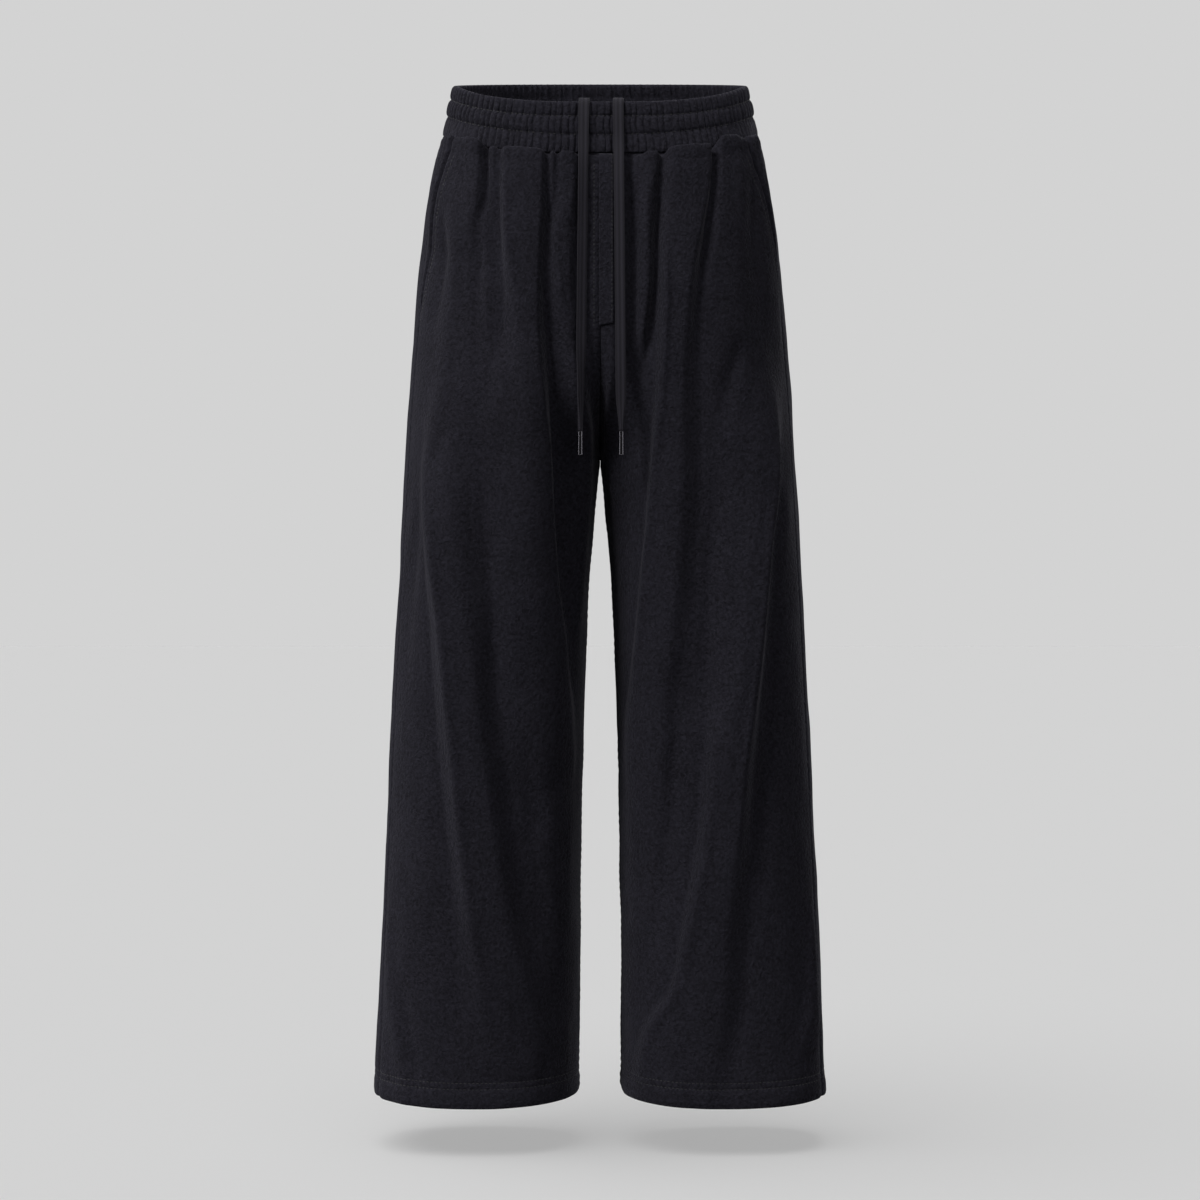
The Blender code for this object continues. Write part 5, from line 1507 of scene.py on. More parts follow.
def make_fleece():
    fleece, tree, shader = new_material("brushed_cotton_polyester_fleece")
    place = add_node(tree, "ShaderNodeTexCoord")
    nap = add_node(tree, "ShaderNodeMapping", {0: place.outputs["Object"], 3: (1.0, 1.0, NAP_STRETCH)})
    tufts = add_node(
        tree,
        "ShaderNodeTexNoise",
        {"Vector": nap.outputs[0], "Scale": 1 / TUFT_SIZE, "Detail": 3.0, "Roughness": 0.6, "Distortion": 0.6},
    )
    fibres = add_node(
        tree,
        "ShaderNodeTexNoise",
        {"Vector": nap.outputs[0], "Scale": 1 / FIBRE_SIZE, "Detail": 2.0, "Roughness": 0.7},
    )
    patches = add_node(
        tree,
        "ShaderNodeTexNoise",
        {"Vector": place.outputs["Object"], "Scale": 1 / PATCH_SIZE, "Detail": 2.0},
    )
    clear_tufts = add_node(
        tree,
        "ShaderNodeMapRange",
        {"Value": tufts.outputs[0], "From Min": 0.30, "From Max": 0.72},
    )
    mottled = add_node(
        tree,
        "ShaderNodeMath",
        {0: fibres.outputs[0], 1: 0.55, 2: clear_tufts.outputs[0]},
        operation="MULTIPLY_ADD",
    )
    shade = add_node(
        tree,
        "ShaderNodeMath",
        {0: patches.outputs[0], 1: 0.35, 2: mottled.outputs[0]},
        operation="MULTIPLY_ADD",
    )
    level = add_node(
        tree,
        "ShaderNodeMapRange",
        {"Value": shade.outputs[0], "From Min": 0.35, "From Max": 1.55},
    )
    colour = add_node(
        tree,
        "ShaderNodeMix",
        {0: level.outputs[0], 6: srgb("#17161A"), 7: srgb("#2E2D35")},
        data_type="RGBA",
    )
    coarse = add_node(
        tree,
        "ShaderNodeBump",
        {"Strength": 0.70, "Distance": 0.0011, "Height": clear_tufts.outputs[0]},
    )
    fine = add_node(
        tree,
        "ShaderNodeBump",
        {"Strength": 0.55, "Distance": 0.0004, "Height": fibres.outputs[0], "Normal": coarse.outputs[0]},
    )
    tree.links.new(colour.outputs[2], shader.inputs["Base Color"])
    tree.links.new(fine.outputs[0], shader.inputs["Normal"])
    shader.inputs["Roughness"].default_value = 0.92
    shader.inputs["Specular IOR Level"].default_value = 0.04
    shader.inputs["Sheen Weight"].default_value = 0.15
    shader.inputs["Sheen Roughness"].default_value = 0.30
    shader.inputs["Sheen Tint"].default_value = srgb("#B9B8C4")
    return fleece


fleece = make_fleece()
print("fleece tufts", TUFT_SIZE * 1000, "mm")

# %% [markdown]
# ## Front and back panels
#
# Two fronts and two backs are cut from one fleece 2 mm thick. Each panel is its own closed wall, and
# 0.3 mm parts it from its neighbours, where the seam is. The rows of points crowd together under
# the waistband and at the hem, where the sewing is, and the columns run along the folds.
# The hem is turned up inside and rounded at its edge, so the wall is twice as thick there.

# %% Panel rows and columns
FRONT_COLUMNS = 124
BACK_COLUMNS = 82
EDGE_STEPS = np.array((0.0, 0.0004, 0.0010, 0.0018, 0.0030, 0.0046, 0.0066))
EDGE_MARGIN = 0.0090
HEM_DEPTH = 0.0265


def spread(places, shares, count):
    """Distances across a panel, crowding together at its two edges."""
    first, last = places[0], places[-1]
    middle = np.interp(np.linspace(0, 1, count), shares, places)
    middle = first + EDGE_MARGIN + (middle - first) * (1 - 2 * EDGE_MARGIN / (last - first))
    return np.concatenate([first + EDGE_STEPS, middle, last - EDGE_STEPS[::-1]])


def front_spacing(z):
    """Distances across a front panel: from the centre edge to the side seam or the pocket's edge."""
    mouth = mouth_distance(z)

    def at(marks):
        inner, outer, seam, _, _ = marks
        return spread((SEAM_GAP / 2, inner, outer, seam - SEAM_GAP / 2 - mouth), FRONT_SHARES, FRONT_COLUMNS)

    return at


def back_spacing(z):
    """Distances across a back panel: from the side seam to the centre edge."""

    def at(marks):
        _, _, seam, back, whole = marks
        return spread((seam + SEAM_GAP / 2, back, whole - SEAM_GAP / 2), BACK_SHARES, BACK_COLUMNS)

    return at


def panel_heights():
    """Heights of the rows, closer together at the waist, round the crotch curve and at the hem."""
    roll = BAND_FOOT_Z - SEAM_GAP - np.linspace(0, 1, 18) * (PUFF_RISE - SEAM_GAP)
    pleats = roll[-1] - np.linspace(0, 1, 24)[1:] ** 1.3 * 0.045
    waist = np.concatenate([roll, pleats])
    seat = np.linspace(waist[-1], CROTCH_Z + 0.06, 72)[1:]
    curve = CROTCH_Z + 0.06 * np.linspace(1, 0, 26)[1:] ** 1.6
    leg = np.linspace(CROTCH_Z, HEM_Z + 0.032, 152)[1:]
    hem = np.linspace(HEM_Z + 0.032, HEM_Z, 34)[1:]
    return np.concatenate([waist, seat, curve, leg, hem])


def cloth_grid(side, heights, spacing, sewn=True):
    return np.array([cloth_row(side, z, spacing(z), sewn) for z in heights])


# %% Panels
def keep_apart(points, heights, side, facing, centre):
    """Moves points that a fold takes over the centre seam or the inseam back to their own side."""
    torso = heights >= CROTCH_Z
    points[torso, :, 0] = np.maximum(points[torso, :, 0] * side, SEAM_GAP / 2) * side
    beyond = (points[:, centre, 1] - CROTCH_Y) * facing
    points[:, centre, 1] = np.maximum(beyond, SEAM_GAP / 2) * facing + CROTCH_Y
    return points


def make_panel(name, side, spacing, facing, centre, fleece):
    heights = panel_heights()
    outer = keep_apart(cloth_grid(side, heights, spacing), heights, side, facing, centre)
    hem = smoothstep((HEM_Z + HEM_DEPTH - heights) / 0.0015)
    inner = outer - surface_normals(outer, side) * (WALL + WALL * hem)[:, None, None]
    inner = keep_apart(inner, heights, side, facing, centre)
    across = np.array([along_curve(*row.T) for row in outer])
    across -= across[:, centre][:, None]
    down = np.broadcast_to(heights[:, None], across.shape)
    piece = cloth_wall(name, outer, inner, fleece, np.stack([across, down], axis=-1))
    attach(piece, "root")
    return piece, outer, inner


CUTS = {"front": (front_spacing, -1, 0), "back": (back_spacing, 1, -1)}
SIDES = {"right": -1, "left": 1}
STRETCHES = ("hip", "thigh", "shin")  # a panel's solid comes in three lengths
for wearer, side in SIDES.items():
    for cut, (spacing, facing, centre) in CUTS.items():
        made = make_panel(f"{cut}_cloth_{wearer}", side, spacing, facing, centre, fleece)
        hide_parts(*(f"{cut}_panel_{wearer}_{stretch}" for stretch in STRETCHES))
        print(made[0].name, "faces:", len(made[0].data.polygons))

# %% [markdown]
# ## Mock fly and pocket facings
#
# The fly is a flat strip sewn on the left front beside the centre seam. It opens nothing. The
# pocket facing is the strip that shows in the slanted pocket mouth, sewn to the back panel and
# lying under the front's edge. Both follow the panels' own surface, moved out or in, so they lie
# on the cloth like cloth. The fly's edges are turned, so it thins towards them.

# %% Mock fly
FLY_TOP_Z = -0.0262
FLY_END_Z = -0.2225
FLY_SLANT = 0.0030  # its foot is cut on a slant
FLY_WALL = 0.0013
FLY_EDGE = 0.0004
FLY_INSET = -0.0013  # it starts a little past the centre seam
FLY_WIDTH = 0.0131


def even_distances(first, last, count):
    """Distances across a narrow strip, closer together at its edges."""
    turn = np.linspace(0, math.pi, count)
    return first + (last - first) * (1 - np.cos(turn)) / 2


def make_fly():
    distances = even_distances(FLY_INSET, FLY_WIDTH, 19)
    heights = np.concatenate([np.linspace(FLY_TOP_Z, FLY_END_Z + 0.006, 86), FLY_END_Z + np.linspace(0.005, 0, 8)])
    slant = (distances - FLY_INSET) / (FLY_WIDTH - FLY_INSET) * FLY_SLANT
    foot = smoothstep((heights - heights[-1] - 0.012) / -0.012)
    rows = []
    for z, share in zip(heights, foot):
        row = cloth_row(1, z, lambda marks: distances, sewn=False, rolled=False)
        shifted = cloth_row(1, z + FLY_SLANT, lambda marks: distances, sewn=False, rolled=False)
        rows.append(row + (shifted - row) * (slant * share / FLY_SLANT)[:, None])
    on_panel = np.array(rows)
    normals = surface_normals(on_panel, 1)
    across = np.linspace(-1, 1, len(distances))
    below_end = np.clip((heights - heights[-1]) / 0.0030, 0, 1)
    turned = (1 - np.abs(across) ** 5)[None] * (1 - (1 - below_end) ** 3)[:, None]
    near = on_panel + normals * SEAM_GAP
    far = near + normals * (FLY_EDGE + (FLY_WALL - FLY_EDGE) * turned)[..., None]
    far = press_under_cords(far)
    u = np.broadcast_to(distances[None], turned.shape)
    v = np.broadcast_to(heights[:, None], turned.shape)
    fly = cloth_wall("mock_fly", far, near, fleece, np.stack([u, v], axis=-1), folded_foot=False)
    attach(fly, "root")
    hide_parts("fly_placket")
    return fly, far, near


fly, fly_outer, fly_inner = make_fly()
print("mock fly faces:", len(fly.data.polygons))

# %% Pocket facings
FACING_TOP_Z = -0.0262
FACING_GAP = 0.0006
FACING_WALL = 0.0013
FACING_UNDER_FRONT = 0.052
FACING_ON_BACK = 0.008
FACING_PROUD = 0.0012  # in the open mouth it bellies out this far past the level of the panels
FACING_RISE = (0.0040, 0.0024)  # it rises to that level over these widths, by the front and by the seam
FACING_COLUMNS = 44


def make_facing(wearer, side):
    heights = np.concatenate([np.linspace(FACING_TOP_Z, -0.045, 24)[:-1], np.linspace(-0.045, POCKET_END_Z, 84)])
    over_seam = np.linspace(-0.0024, 0.0004, 8)
    from_seam = np.linspace(-FACING_UNDER_FRONT, -0.0030, FACING_COLUMNS)
    from_seam = np.concatenate([from_seam, over_seam, np.linspace(0.0020, FACING_ON_BACK, 4)])

    def across(marks):
        return marks[2] + from_seam

    skin = np.array([cloth_row(side, z, across, sewn=False, rolled=False) for z in heights])
    inward = -surface_normals(skin, side)
    deep = WALL + FACING_GAP
    past_mouth = from_seam[None] + np.array([mouth_distance(z) for z in heights])[:, None]
    open_part = smoothstep(past_mouth / FACING_RISE[0]) * smoothstep(-from_seam[None] / FACING_RISE[1])
    near = skin + inward * (deep - (deep + FACING_PROUD) * open_part)[..., None]
    far = skin + inward * (deep + FACING_WALL)
    u = np.broadcast_to(from_seam[None], skin.shape[:2])
    v = np.broadcast_to(heights[:, None], skin.shape[:2])
    facing = cloth_wall(f"facing_cloth_{wearer}", near, far, fleece, np.stack([u, v], axis=-1), folded_foot=False)
    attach(facing, "root")
    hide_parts(f"pocket_facing_{wearer}")
    return facing


facings = {wearer: make_facing(wearer, side) for wearer, side in SIDES.items()}
print("pocket facings:", ", ".join(piece.name for piece in facings.values()))

# %% [markdown]
# ## Seam allowances
#
# Inside, the raw edges of each seam are overlocked together and lie flat as a strip 16 mm wide.
# It closes the seam from behind, and it shows where one looks into the legs or the waist. Each
# strip is made like a pocket facing, moved in under both edges of its seam.

# %% Seam allowances
ALLOWANCE_HALF = 0.008
ALLOWANCE_WALL = 0.0012
ALLOWANCE_GAP = 0.0002
ALLOWANCE_COLUMNS = 9
SEAM_TOP_Z = -0.0262
HEM_TURN_Z = HEM_Z + HEM_DEPTH + 0.0010


def make_allowance(name, side, top_z, end_z, middle):
    """A strip behind a seam. `middle` turns the outline's marks into the seam's distance."""
    heights = np.linspace(top_z, end_z, round((top_z - end_z) / 0.005))
    offsets = np.linspace(-ALLOWANCE_HALF, ALLOWANCE_HALF, ALLOWANCE_COLUMNS)
    skin = np.array([cloth_row(side, z, lambda marks: middle(marks) + offsets, sewn=False) for z in heights])
    inward = -surface_normals(skin, side)
    near = skin + inward * (WALL + ALLOWANCE_GAP)
    u, v = np.broadcast_to(offsets[None], skin.shape[:2]), np.broadcast_to(heights[:, None], skin.shape[:2])
    uv = np.stack([u, v], axis=-1)
    strip = cloth_wall(name, near, near + inward * ALLOWANCE_WALL, fleece, uv, folded_foot=False)
    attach(strip, "root")
    return strip


allowances = {"centre_front": make_allowance("allowance_centre_front", 1, SEAM_TOP_Z, CROTCH_Z, lambda marks: 0.0)}
allowances["centre_back"] = make_allowance("allowance_centre_back", 1, SEAM_TOP_Z, CROTCH_Z, lambda marks: marks[4])
for wearer, side in SIDES.items():
    name = f"allowance_inseam_{wearer}"
    allowances[f"inseam_{wearer}"] = make_allowance(name, side, CROTCH_Z - SEAM_GAP, HEM_TURN_Z, lambda marks: 0.0)
    name = f"allowance_side_{wearer}"
    top_z = POCKET_END_Z - ALLOWANCE_GAP
    allowances[f"side_{wearer}"] = make_allowance(name, side, top_z, HEM_TURN_Z, lambda marks: marks[2])
print("seam allowances:", ", ".join(allowances))

# %% [markdown]
# ## Elastic waistband
#
# One strip of fleece is folded over three rows of elastic and stitched through between them. The
# elastic pulls the strip together, so it stands up in some hundred small round ribs, and each row
# puffs out between the stitched grooves. It is made as one closed ring: a profile runs up the
# outside, over the rim and down the inside, and every rib of it is turned a little different in
# width, depth and lean, as gathers are. Inside the back, the ribs stop at the flat join.

# %% Waistband
RIB_COUNT = 124
POINTS_PER_RIB = 8
RIB_DEPTH = 0.0025
RIB_VALLEY = 3.2  # a rib's power: more gives a rounder back and a narrower valley
INNER_RIB_DEPTH = 0.0018
TIER_EDGES = (-0.0235, -0.0043, 0.0116, 0.0255)
TIER_PUFF = (0.0015, 0.0022, 0.0015)
FOOT_FLARE = 0.0016  # at the sides the band's foot spreads over the pleats by this much
FOOT_FLARE_X = (0.115, 0.150)
TIER_LEAN = (0.10, -0.16, 0.05)  # a rib leans sideways by this share of its width in mid tier
GROOVE_STAND = 0.0002
GROOVE_DROP = 0.0022  # the lower groove dips at the front middle
GROOVE_DROP_REACH = 0.070
RIM_RADIUS = 0.0021
RIM_LIFT = 0.0024  # the sides and the back stand this much higher at the rim
PLAIN_FROM_X = 0.112  # the lowest tier's ribs flatten towards the sides of the front
PLAIN_SHARE = 0.85
JOIN_HALF = 0.0080

rib_seed = np.random.RandomState(23)
rib_edges = np.arange(RIB_COUNT) + rib_seed.uniform(-0.20, 0.20, RIB_COUNT)
rib_depths = rib_seed.uniform(0.72, 1.18, (3, RIB_COUNT))
rib_leans = rib_seed.uniform(-0.10, 0.10, (3, RIB_COUNT))
rib_puffs = rib_seed.uniform(-0.00035, 0.00035, (3, RIB_COUNT))


def tier_at(z):
    """Which tier a height is in, and how far up that tier, from 0 to 1."""
    tier = min(max(int(np.searchsorted(TIER_EDGES, z)) - 1, 0), 2)
    low, high = TIER_EDGES[tier], TIER_EDGES[tier + 1]
    return tier, min(max((z - low) / (high - low), 0.0), 1.0)


def puffed(share):
    """How full a tier is, part of the way up it: it rises steeply from each groove."""
    return (1 - abs(2 * share - 1) ** 3.0) ** 0.75


def band_outline(z):
    """The whole ring's plain outline, from the front middle round by the left to the back."""
    x, y, _, _ = outline(z)
    ring_x, ring_y = np.concatenate([x, -x[::-1]]), np.concatenate([y, y[::-1]])
    return ring_x, ring_y, along_curve(ring_x, ring_y)


def band_ring(z, stand, rib_depth, inside=False):
    """One level ring of the band: `stand` off the plain outline, and ribs of `rib_depth`."""
    ring_x, ring_y, along = band_outline(min(max(z, BAND_FOOT_Z), BAND_TOP_Z))
    tier, share = tier_at(z)
    ribs = np.repeat(np.arange(RIB_COUNT), POINTS_PER_RIB)
    phase = np.tile(np.arange(POINTS_PER_RIB) / POINTS_PER_RIB, RIB_COUNT)
    ends = np.append(rib_edges, rib_edges[0] + RIB_COUNT)
    place = ends[ribs] + phase * (ends[ribs + 1] - ends[ribs])
    lean = (TIER_LEAN[tier] + rib_leans[tier][ribs]) * math.sin(math.pi * share)
    at = np.mod(place + lean - 0.5, RIB_COUNT) / RIB_COUNT * along[-1]
    base_x, base_y = np.interp(at, along, ring_x), np.interp(at, along, ring_y)
    tangent_x = np.roll(base_x, -1) - np.roll(base_x, 1)
    tangent_y = np.roll(base_y, -1) - np.roll(base_y, 1)
    size = np.hypot(tangent_x, tangent_y)
    valley = np.abs(2 * phase - 1) ** RIB_VALLEY
    join = bump(base_x / JOIN_HALF) ** 2 * (base_y > 0) if inside else 0.0
    plain = PLAIN_SHARE * smoothstep((np.abs(base_x) - PLAIN_FROM_X) / 0.02) * (base_y < 0) * (tier == 0) * (not inside)
    rib = rib_depth * rib_depths[tier][ribs] * (0.45 - valley) * (1 - join) * (1 - plain * math.sin(math.pi * share) ** 0.5)
    out = stand + rib + rib_puffs[tier][ribs] * puffed(share)
    if tier == 0 and not inside:
        at_side = smoothstep((np.abs(base_x) - FOOT_FLARE_X[0]) / (FOOT_FLARE_X[1] - FOOT_FLARE_X[0]))
        out = out + FOOT_FLARE * at_side * (1 - share) ** 1.5
    drop = GROOVE_DROP * bump(base_x / GROOVE_DROP_REACH) * (base_y < 0)
    lower = smoothstep((TIER_EDGES[2] - z) / (TIER_EDGES[2] - TIER_EDGES[1]))
    lower = lower * smoothstep((z - TIER_EDGES[0]) / (TIER_EDGES[1] - TIER_EDGES[0]))
    up = smoothstep((z - BAND_FOOT_Z) / (BAND_TOP_Z - BAND_FOOT_Z))
    points_z = z + band_tilt(base_y, z) - drop * lower + RIM_LIFT * up * smoothstep((base_y + 0.085) / 0.07)
    points_x, points_y = base_x + tangent_y / size * out, base_y - tangent_x / size * out
    return np.stack([points_x, points_y, points_z], axis=-1)


def band_profile():
    """Height, stand, rib depth and whether it is inside, once round the band's wall."""
    rows = []
    for z in np.linspace(BAND_FOOT_Z + 0.0006, BAND_TOP_Z - RIM_RADIUS, 48):
        tier, share = tier_at(z)
        full = puffed(share)
        rows.append((z, GROOVE_STAND + TIER_PUFF[tier] * full, RIB_DEPTH * (0.72 + 0.28 * full), False))
    outside, inside = rows[-1][1], -BAND_WALL
    for turn in np.linspace(0, math.pi, 8)[1:-1]:
        middle = (outside + inside) / 2 + (outside - inside) / 2 * math.cos(turn)
        z = BAND_TOP_Z - RIM_RADIUS * (1 - math.sin(turn))
        rows.append((z, middle, 0.0011 * (1 + math.cos(turn)) / 2 + 0.0006, turn > 2))
    for z in np.linspace(BAND_TOP_Z - RIM_RADIUS, BAND_FOOT_Z + 0.0006, 22):
        full = puffed(tier_at(z)[1])
        rows.append((z, -BAND_WALL - 0.0010 * full, INNER_RIB_DEPTH * (0.4 + 0.6 * full), True))
    foot_in, foot_out = rows[-1][1], rows[0][1]
    for share in (0.2, 0.5, 0.8):
        rows.append((BAND_FOOT_Z, foot_in + (foot_out - foot_in) * share, 0.0006, True))
    return rows


def make_waistband():
    rings = np.array([band_ring(*row) for row in band_profile()])
    rings = press_under_cords(rings)
    rows, count = rings.shape[:2]
    faces = grid_faces(rows, count, ring=True)
    closing = [[(rows - 1) * count + k, (rows - 1) * count + (k + 1) % count, (k + 1) % count, k] for k in range(count)]
    across = np.broadcast_to(np.arange(count) / POINTS_PER_RIB * 0.0075, (rows, count))
    down = np.broadcast_to(rings[:, :1, 2], (rows, count))
    uv = np.stack([across, down], axis=-1).reshape(-1, 2)
    band = turn_outwards(mesh_object("elastic_waistband", rings.reshape(-1, 3), faces + closing, fleece, uv))
    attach(band, "root")
    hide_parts("waistband")
    return band


waistband = make_waistband()
print("waistband faces:", len(waistband.data.polygons))

# %% [markdown]
# ## Stitching
#
# Polyester thread in the cloth's own black. A twin needle sews the hem in two parallel rows, and
# single rows run along the pocket mouths, beside the fly and in the grooves of the waistband.
# A stitch shows as a small sunken capsule, about 3 mm long. One is modelled, then every row is a
# joined mesh of copies, each laid along its line.

# %% Thread material
def make_thread():
    thread, tree, shader = new_material("spun_polyester_thread")
    place = add_node(tree, "ShaderNodeTexCoord")
    twist = add_node(
        tree,
        "ShaderNodeTexNoise",
        {"Vector": place.outputs["Object"], "Scale": 1 / 0.0006, "Detail": 1.0},
    )
    colour = add_node(
        tree,
        "ShaderNodeMix",
        {0: twist.outputs[0], 6: srgb("#101012"), 7: srgb("#1D1D20")},
        data_type="RGBA",
    )
    tree.links.new(colour.outputs[2], shader.inputs["Base Color"])
    shader.inputs["Roughness"].default_value = 0.6
    return thread


thread = make_thread()

# %% One stitch, and rows of them
STITCH_LENGTH = 0.0030
STITCH_STEP = 0.0042
STITCH_WIDTH = 0.0008
STITCH_SINK = 0.00015
STITCH_SIDES = 6
STITCH_RINGS = ((-0.40, 0.75), (-0.15, 1.0), (0.15, 1.0), (0.40, 0.75))  # along it, and width there


def unit_stitch():
    """A capsule along X, 1 long and 1 wide: its points and faces."""
    turns = np.arange(STITCH_SIDES) / STITCH_SIDES * 2 * math.pi
    points = [(-0.5, 0.0, 0.0)]
    for along, width in STITCH_RINGS:
        points += [(along, width / 2 * math.cos(turn), width / 2 * math.sin(turn)) for turn in turns]
    points.append((0.5, 0.0, 0.0))
    faces = grid_faces(len(STITCH_RINGS), STITCH_SIDES, start=1, ring=True)
    last = len(points) - 1
    for k in range(STITCH_SIDES):
        after = (k + 1) % STITCH_SIDES
        faces.append([0, 1 + after, 1 + k])
        faces.append([last, last - STITCH_SIDES + k, last - STITCH_SIDES + after])
    return np.array(points), faces


def stitch_row(name, lines):
    """Stitches along lines, each given as its points and the cloth's outward normals there."""
    shape, shape_faces = unit_stitch()
    points, faces = [], []
    for line, normals in lines:
        along = along_curve(*line.T)
        at = np.arange(STITCH_STEP / 2, along[-1], STITCH_STEP)
        middle = np.stack([np.interp(at, along, axis) for axis in line.T], axis=1)
        ahead = np.stack([np.interp(at + 0.001, along, axis) for axis in line.T], axis=1) - middle
        ahead /= np.maximum(np.linalg.norm(ahead, axis=1), 1e-9)[:, None]
        out = np.stack([np.interp(at, along, axis) for axis in normals.T], axis=1)
        out -= ahead * np.sum(out * ahead, axis=1)[:, None]
        out /= np.linalg.norm(out, axis=1)[:, None]
        side = np.cross(out, ahead)
        for place, lengthwise, sideways, outward in zip(middle, ahead, side, out):
            start = len(points) * len(shape)
            copy = place - outward * STITCH_SINK + shape[:, :1] * lengthwise * STITCH_LENGTH
            copy = copy + shape[:, 1:2] * sideways * STITCH_WIDTH + shape[:, 2:] * outward * STITCH_WIDTH
            points.append(copy)
            faces += [[start + corner for corner in face] for face in shape_faces]
    piece = mesh_object(name, np.concatenate(points), faces, thread)
    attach(piece, "root")
    return turn_outwards(piece)


# %% Rows on the hems, the pocket mouths, the fly and the waistband
FLY_STITCH = 0.0016  # from the fly's outer edge
CENTRE_STITCH = 0.0060  # from the centre seam, on the right front


def surface_line(side, places):
    """A line on the cloth through (height, distance rule) places, with its normals."""
    lines = {shift: np.array([cloth_row(side, z, rule)[0] for z, rule in shift_places(places, shift)]) for shift in SHIFTS}
    across, down = lines["across"] - lines["at"], lines["down"] - lines["at"]
    normals = np.cross(across, down) * -side
    return lines["at"], normals / np.linalg.norm(normals, axis=1)[:, None]


SHIFTS = ("at", "across", "down")
SHIFT = 0.0006


def shift_places(places, shift):
    """The same places, moved a little across or down the cloth."""
    if shift == "down":
        return [(z - SHIFT, rule) for z, rule in places]
    if shift == "across":
        return [(z, lambda marks, rule=rule: rule(marks) + SHIFT) for z, rule in places]
    return places


def hem_lines(side):
    """Two rows round a leg, level with the hem."""
    lines = []
    for above in HEM_STITCHES:
        z = HEM_Z + above
        whole = outline(z)[3][-1]
        round_leg = np.linspace(0.004, whole - 0.004, 280)
        grid = np.array([cloth_row(side, z + step, lambda marks: round_leg) for step in (SHIFT, 0, -SHIFT)])
        lines.append((grid[1], surface_normals(grid, side)[1]))
    return lines


def mouth_line(side):
    heights = np.linspace(POCKET_TOP_Z - 0.006, POCKET_END_Z - 0.004, 120)

    def rule_at(z):
        return lambda marks: np.array([marks[2] - mouth_distance(z) - MOUTH_STITCH])

    return surface_line(side, [(z, rule_at(z)) for z in heights])


def straight_line(side, distance, top_z, end_z):
    heights = np.linspace(top_z, end_z, 100)
    return surface_line(side, [(z, lambda marks: np.array([distance])) for z in heights])


def fly_edge_line():
    """A row on the fly itself, just inside its free edge."""
    normals = surface_normals(fly_outer, 1)
    column = int(np.argmin(np.abs(even_distances(FLY_INSET, FLY_WIDTH, 19) - (FLY_WIDTH - FLY_STITCH))))
    return fly_outer[:-4, column], normals[:-4, column]


def groove_line(z):
    """A row round the waistband, in the groove at height z."""
    rings = np.array([band_ring(z + step, GROOVE_STAND, RIB_DEPTH * 0.35) for step in (SHIFT, 0, -SHIFT)])
    rings = press_under_cords(rings)
    across = np.roll(rings[1], -2, axis=0) - np.roll(rings[1], 2, axis=0)
    normals = np.cross(np.array([[0.0, 0.0, 1.0]]), across)
    normals /= -np.linalg.norm(normals, axis=1)[:, None]
    smooth = sum(np.roll(rings[1], step, axis=0) for step in range(-4, 5)) / 9
    return smooth + normals * 0.0006, normals


stitch_row("stitches_hems", [line for side in SIDES.values() for line in hem_lines(side)])
stitch_row("stitches_pockets", [mouth_line(side) for side in SIDES.values()])
stitch_row("stitches_fly", [fly_edge_line(), straight_line(-1, CENTRE_STITCH, -0.034, FLY_END_Z)])
stitch_row("stitches_waistband", [groove_line(z) for z in TIER_EDGES[1:3]])
for piece in bpy.context.scene.objects:
    if piece.name.startswith("stitches"):
        print(piece.name, "faces:", len(piece.data.polygons))

# %% [markdown]

# %% [markdown]
# ## Floor, light and view
#
# A plain pale studio. The background is an even light grey to the lens, while the light that falls
# from it is weaker, so the dark cloth keeps its contrast. The key light comes from the upper left in
# front. A soft fill, a light from above and one from the side open the shadows, one from behind
# keeps the back readable, and a small one lifts the waistband. The floor has two lights of its own,
# so that it looks as bright as the background and no edge shows. The metal tips are lit by a ring
# of panels that only shiny surfaces mirror.

# %% Floor, light and view
BACKGROUND = srgb("#D3D3D3")
AMBIENT = 0.05
# Strength, height and turn in degrees (negative is left of the view), and softness in degrees.
GARMENT_LIGHTS = {
    "key_light": (2.42, 40, -50, 22),
    "fill_light": (0.64, 14, 17, 50),
    "top_light": (0.5, 72, 10, 30),
    "side_light": (1.1, 20, -108, 15),
    "back_light": (1.1, 30, 155, 30),
}
BAND_LIGHT = (0.58, 35, 52, 12)
FLOOR_LIGHT = (0.9, 72, -60, 60)
FLOOR_FILL = (1.5, 90, 0, 0)  # casts no shadow, so the shadow on the floor stays light
PANEL_STRENGTH = 1.7  # of the ring of light panels that only shiny surfaces mirror
PANEL_EDGES = (0.48, 0.24)  # part along the view of the direction where the ring starts and is full
FLOOR_DROP = 0.050
FLOOR_HALF = 30.0


def make_sun(name, strength, height, turn, softness):
    """A far light. `turn` is measured from straight in front, positive towards the right."""
    data = bpy.data.lights.new(name, "SUN")
    data.energy = strength
    data.angle = math.radians(softness)
    sun = bpy.data.objects.new(name, data)
    sun.rotation_euler = (math.radians(90 - height), 0.0, math.radians(turn))
    bpy.context.scene.collection.objects.link(sun)
    return sun


def aim(sun, pieces, state):
    """Lets a light reach only these pieces, with INCLUDE, or all but these, with EXCLUDE."""
    reached = bpy.data.collections.new(f"reached_by_{sun.name}")
    for place, piece in enumerate(pieces):
        reached.objects.link(piece)
        reached.collection_objects[place].light_linking.link_state = state
    sun.light_linking.receiver_collection = reached


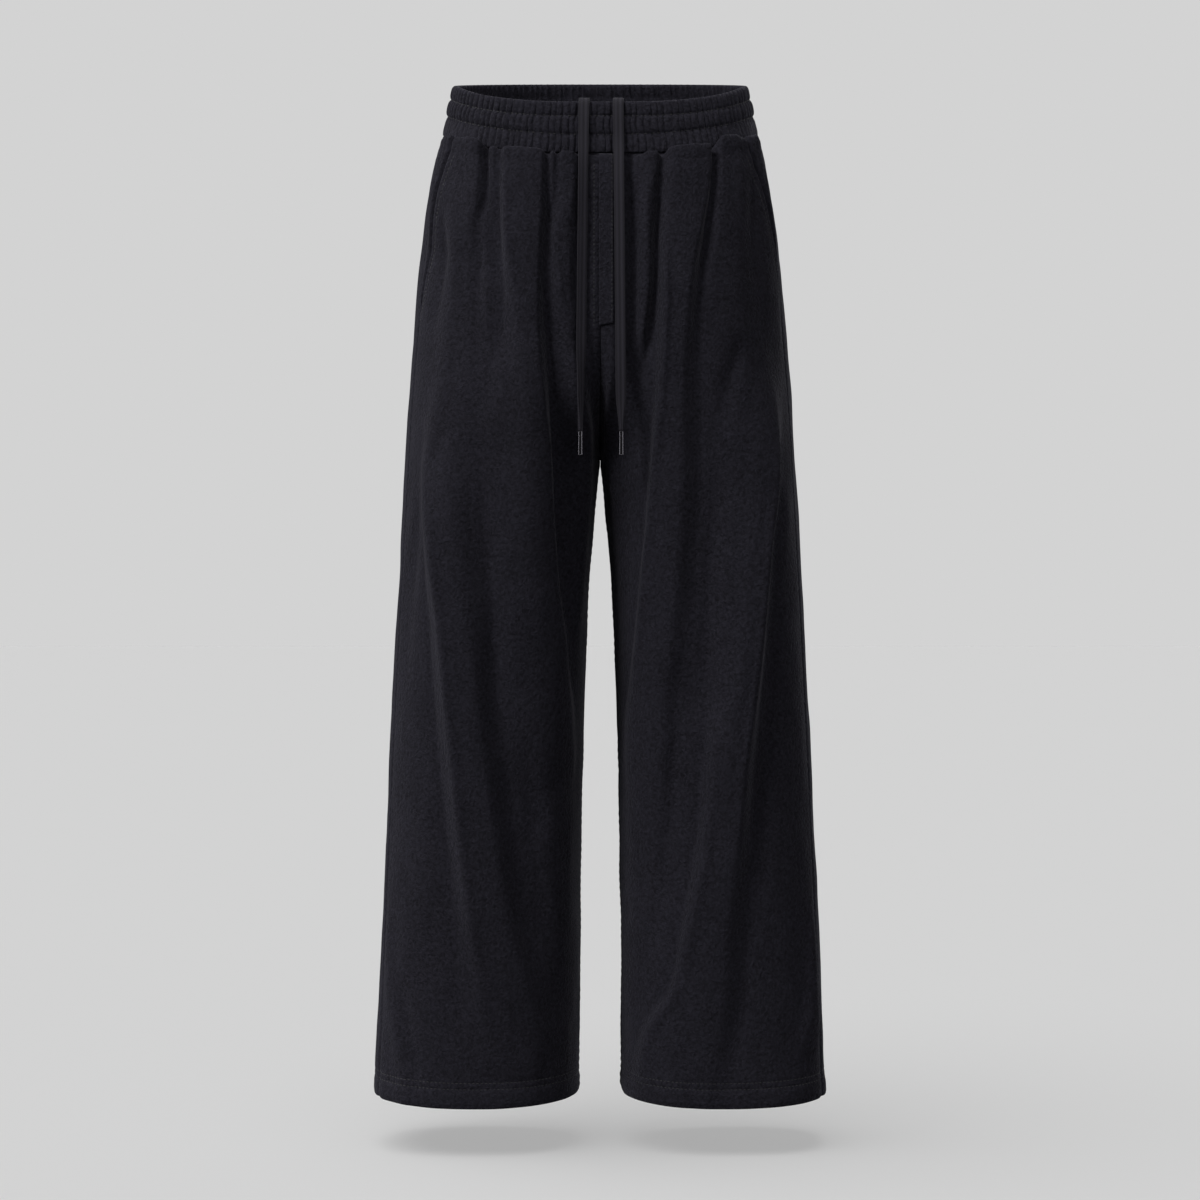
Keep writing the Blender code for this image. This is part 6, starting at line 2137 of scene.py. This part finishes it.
def make_world():
    world = bpy.data.worlds.new("studio")
    world.use_nodes = True
    tree = world.node_tree
    path = add_node(tree, "ShaderNodeLightPath")
    place = add_node(tree, "ShaderNodeTexCoord")
    direction = add_node(tree, "ShaderNodeSeparateXYZ", {0: place.outputs["Generated"]})
    along_view = add_node(tree, "ShaderNodeMath", {0: direction.outputs[1]}, operation="ABSOLUTE")
    panels_seen = add_node(
        tree,
        "ShaderNodeMapRange",
        {
            "Value": along_view.outputs[0],
            "From Min": PANEL_EDGES[0],
            "From Max": PANEL_EDGES[1],
            "To Min": 0.0,
            "To Max": PANEL_STRENGTH,
        },
    )
    shiny = add_node(
        tree,
        "ShaderNodeMath",
        {0: path.outputs["Is Glossy Ray"], 1: panels_seen.outputs[0], 2: AMBIENT},
        operation="MULTIPLY_ADD",
    )
    strength = add_node(
        tree,
        "ShaderNodeMapRange",
        {"Value": path.outputs["Is Camera Ray"], "To Min": shiny.outputs[0], "To Max": BACKGROUND[0]},
    )
    background = tree.nodes["Background"]
    background.inputs["Color"].default_value = (1.0, 1.0, 1.0, 1.0)
    tree.links.new(strength.outputs[0], background.inputs["Strength"])
    bpy.context.scene.world = world


def make_floor():
    falling = AMBIENT + sum(light[0] * math.sin(math.radians(light[1])) / math.pi for light in (FLOOR_LIGHT, FLOOR_FILL))
    reflectance = BACKGROUND[0] / falling
    paper, tree, shader = new_material("matt_studio_paper")
    shader.inputs["Base Color"].default_value = (reflectance, reflectance, reflectance, 1.0)
    shader.inputs["Roughness"].default_value = 1.0
    shader.inputs["Specular IOR Level"].default_value = 0.0
    select_only(camera)
    bpy.ops.mesh.primitive_plane_add(size=2 * FLOOR_HALF, location=(0, 0, cad_low[2] - FLOOR_DROP))
    floor = bpy.context.object
    floor.name = floor.data.name = "floor"
    floor.data.materials.append(paper)
    floor.visible_diffuse = False
    floor.visible_glossy = False
    return floor, reflectance


floor, reflectance = make_floor()
for name, sizes in GARMENT_LIGHTS.items():
    aim(make_sun(name, *sizes), [floor, *tips], "EXCLUDE")
aim(make_sun("band_light", *BAND_LIGHT), [waistband], "INCLUDE")
aim(make_sun("floor_light", *FLOOR_LIGHT), [floor], "INCLUDE")
floor_fill = make_sun("floor_fill", *FLOOR_FILL)
floor_fill.data.use_shadow = False
aim(floor_fill, [floor], "INCLUDE")
make_world()
print(f"floor reflectance {reflectance:.2f}")
bpy.context.scene.view_settings.view_transform = "Standard"

# %% [markdown]
# ## Finish
#
# The sizes of the box round the imported solids are printed.

# %% Sizes and finish
print("solids", [round(high - low, 4) for low, high in zip(cad_low, cad_high)])
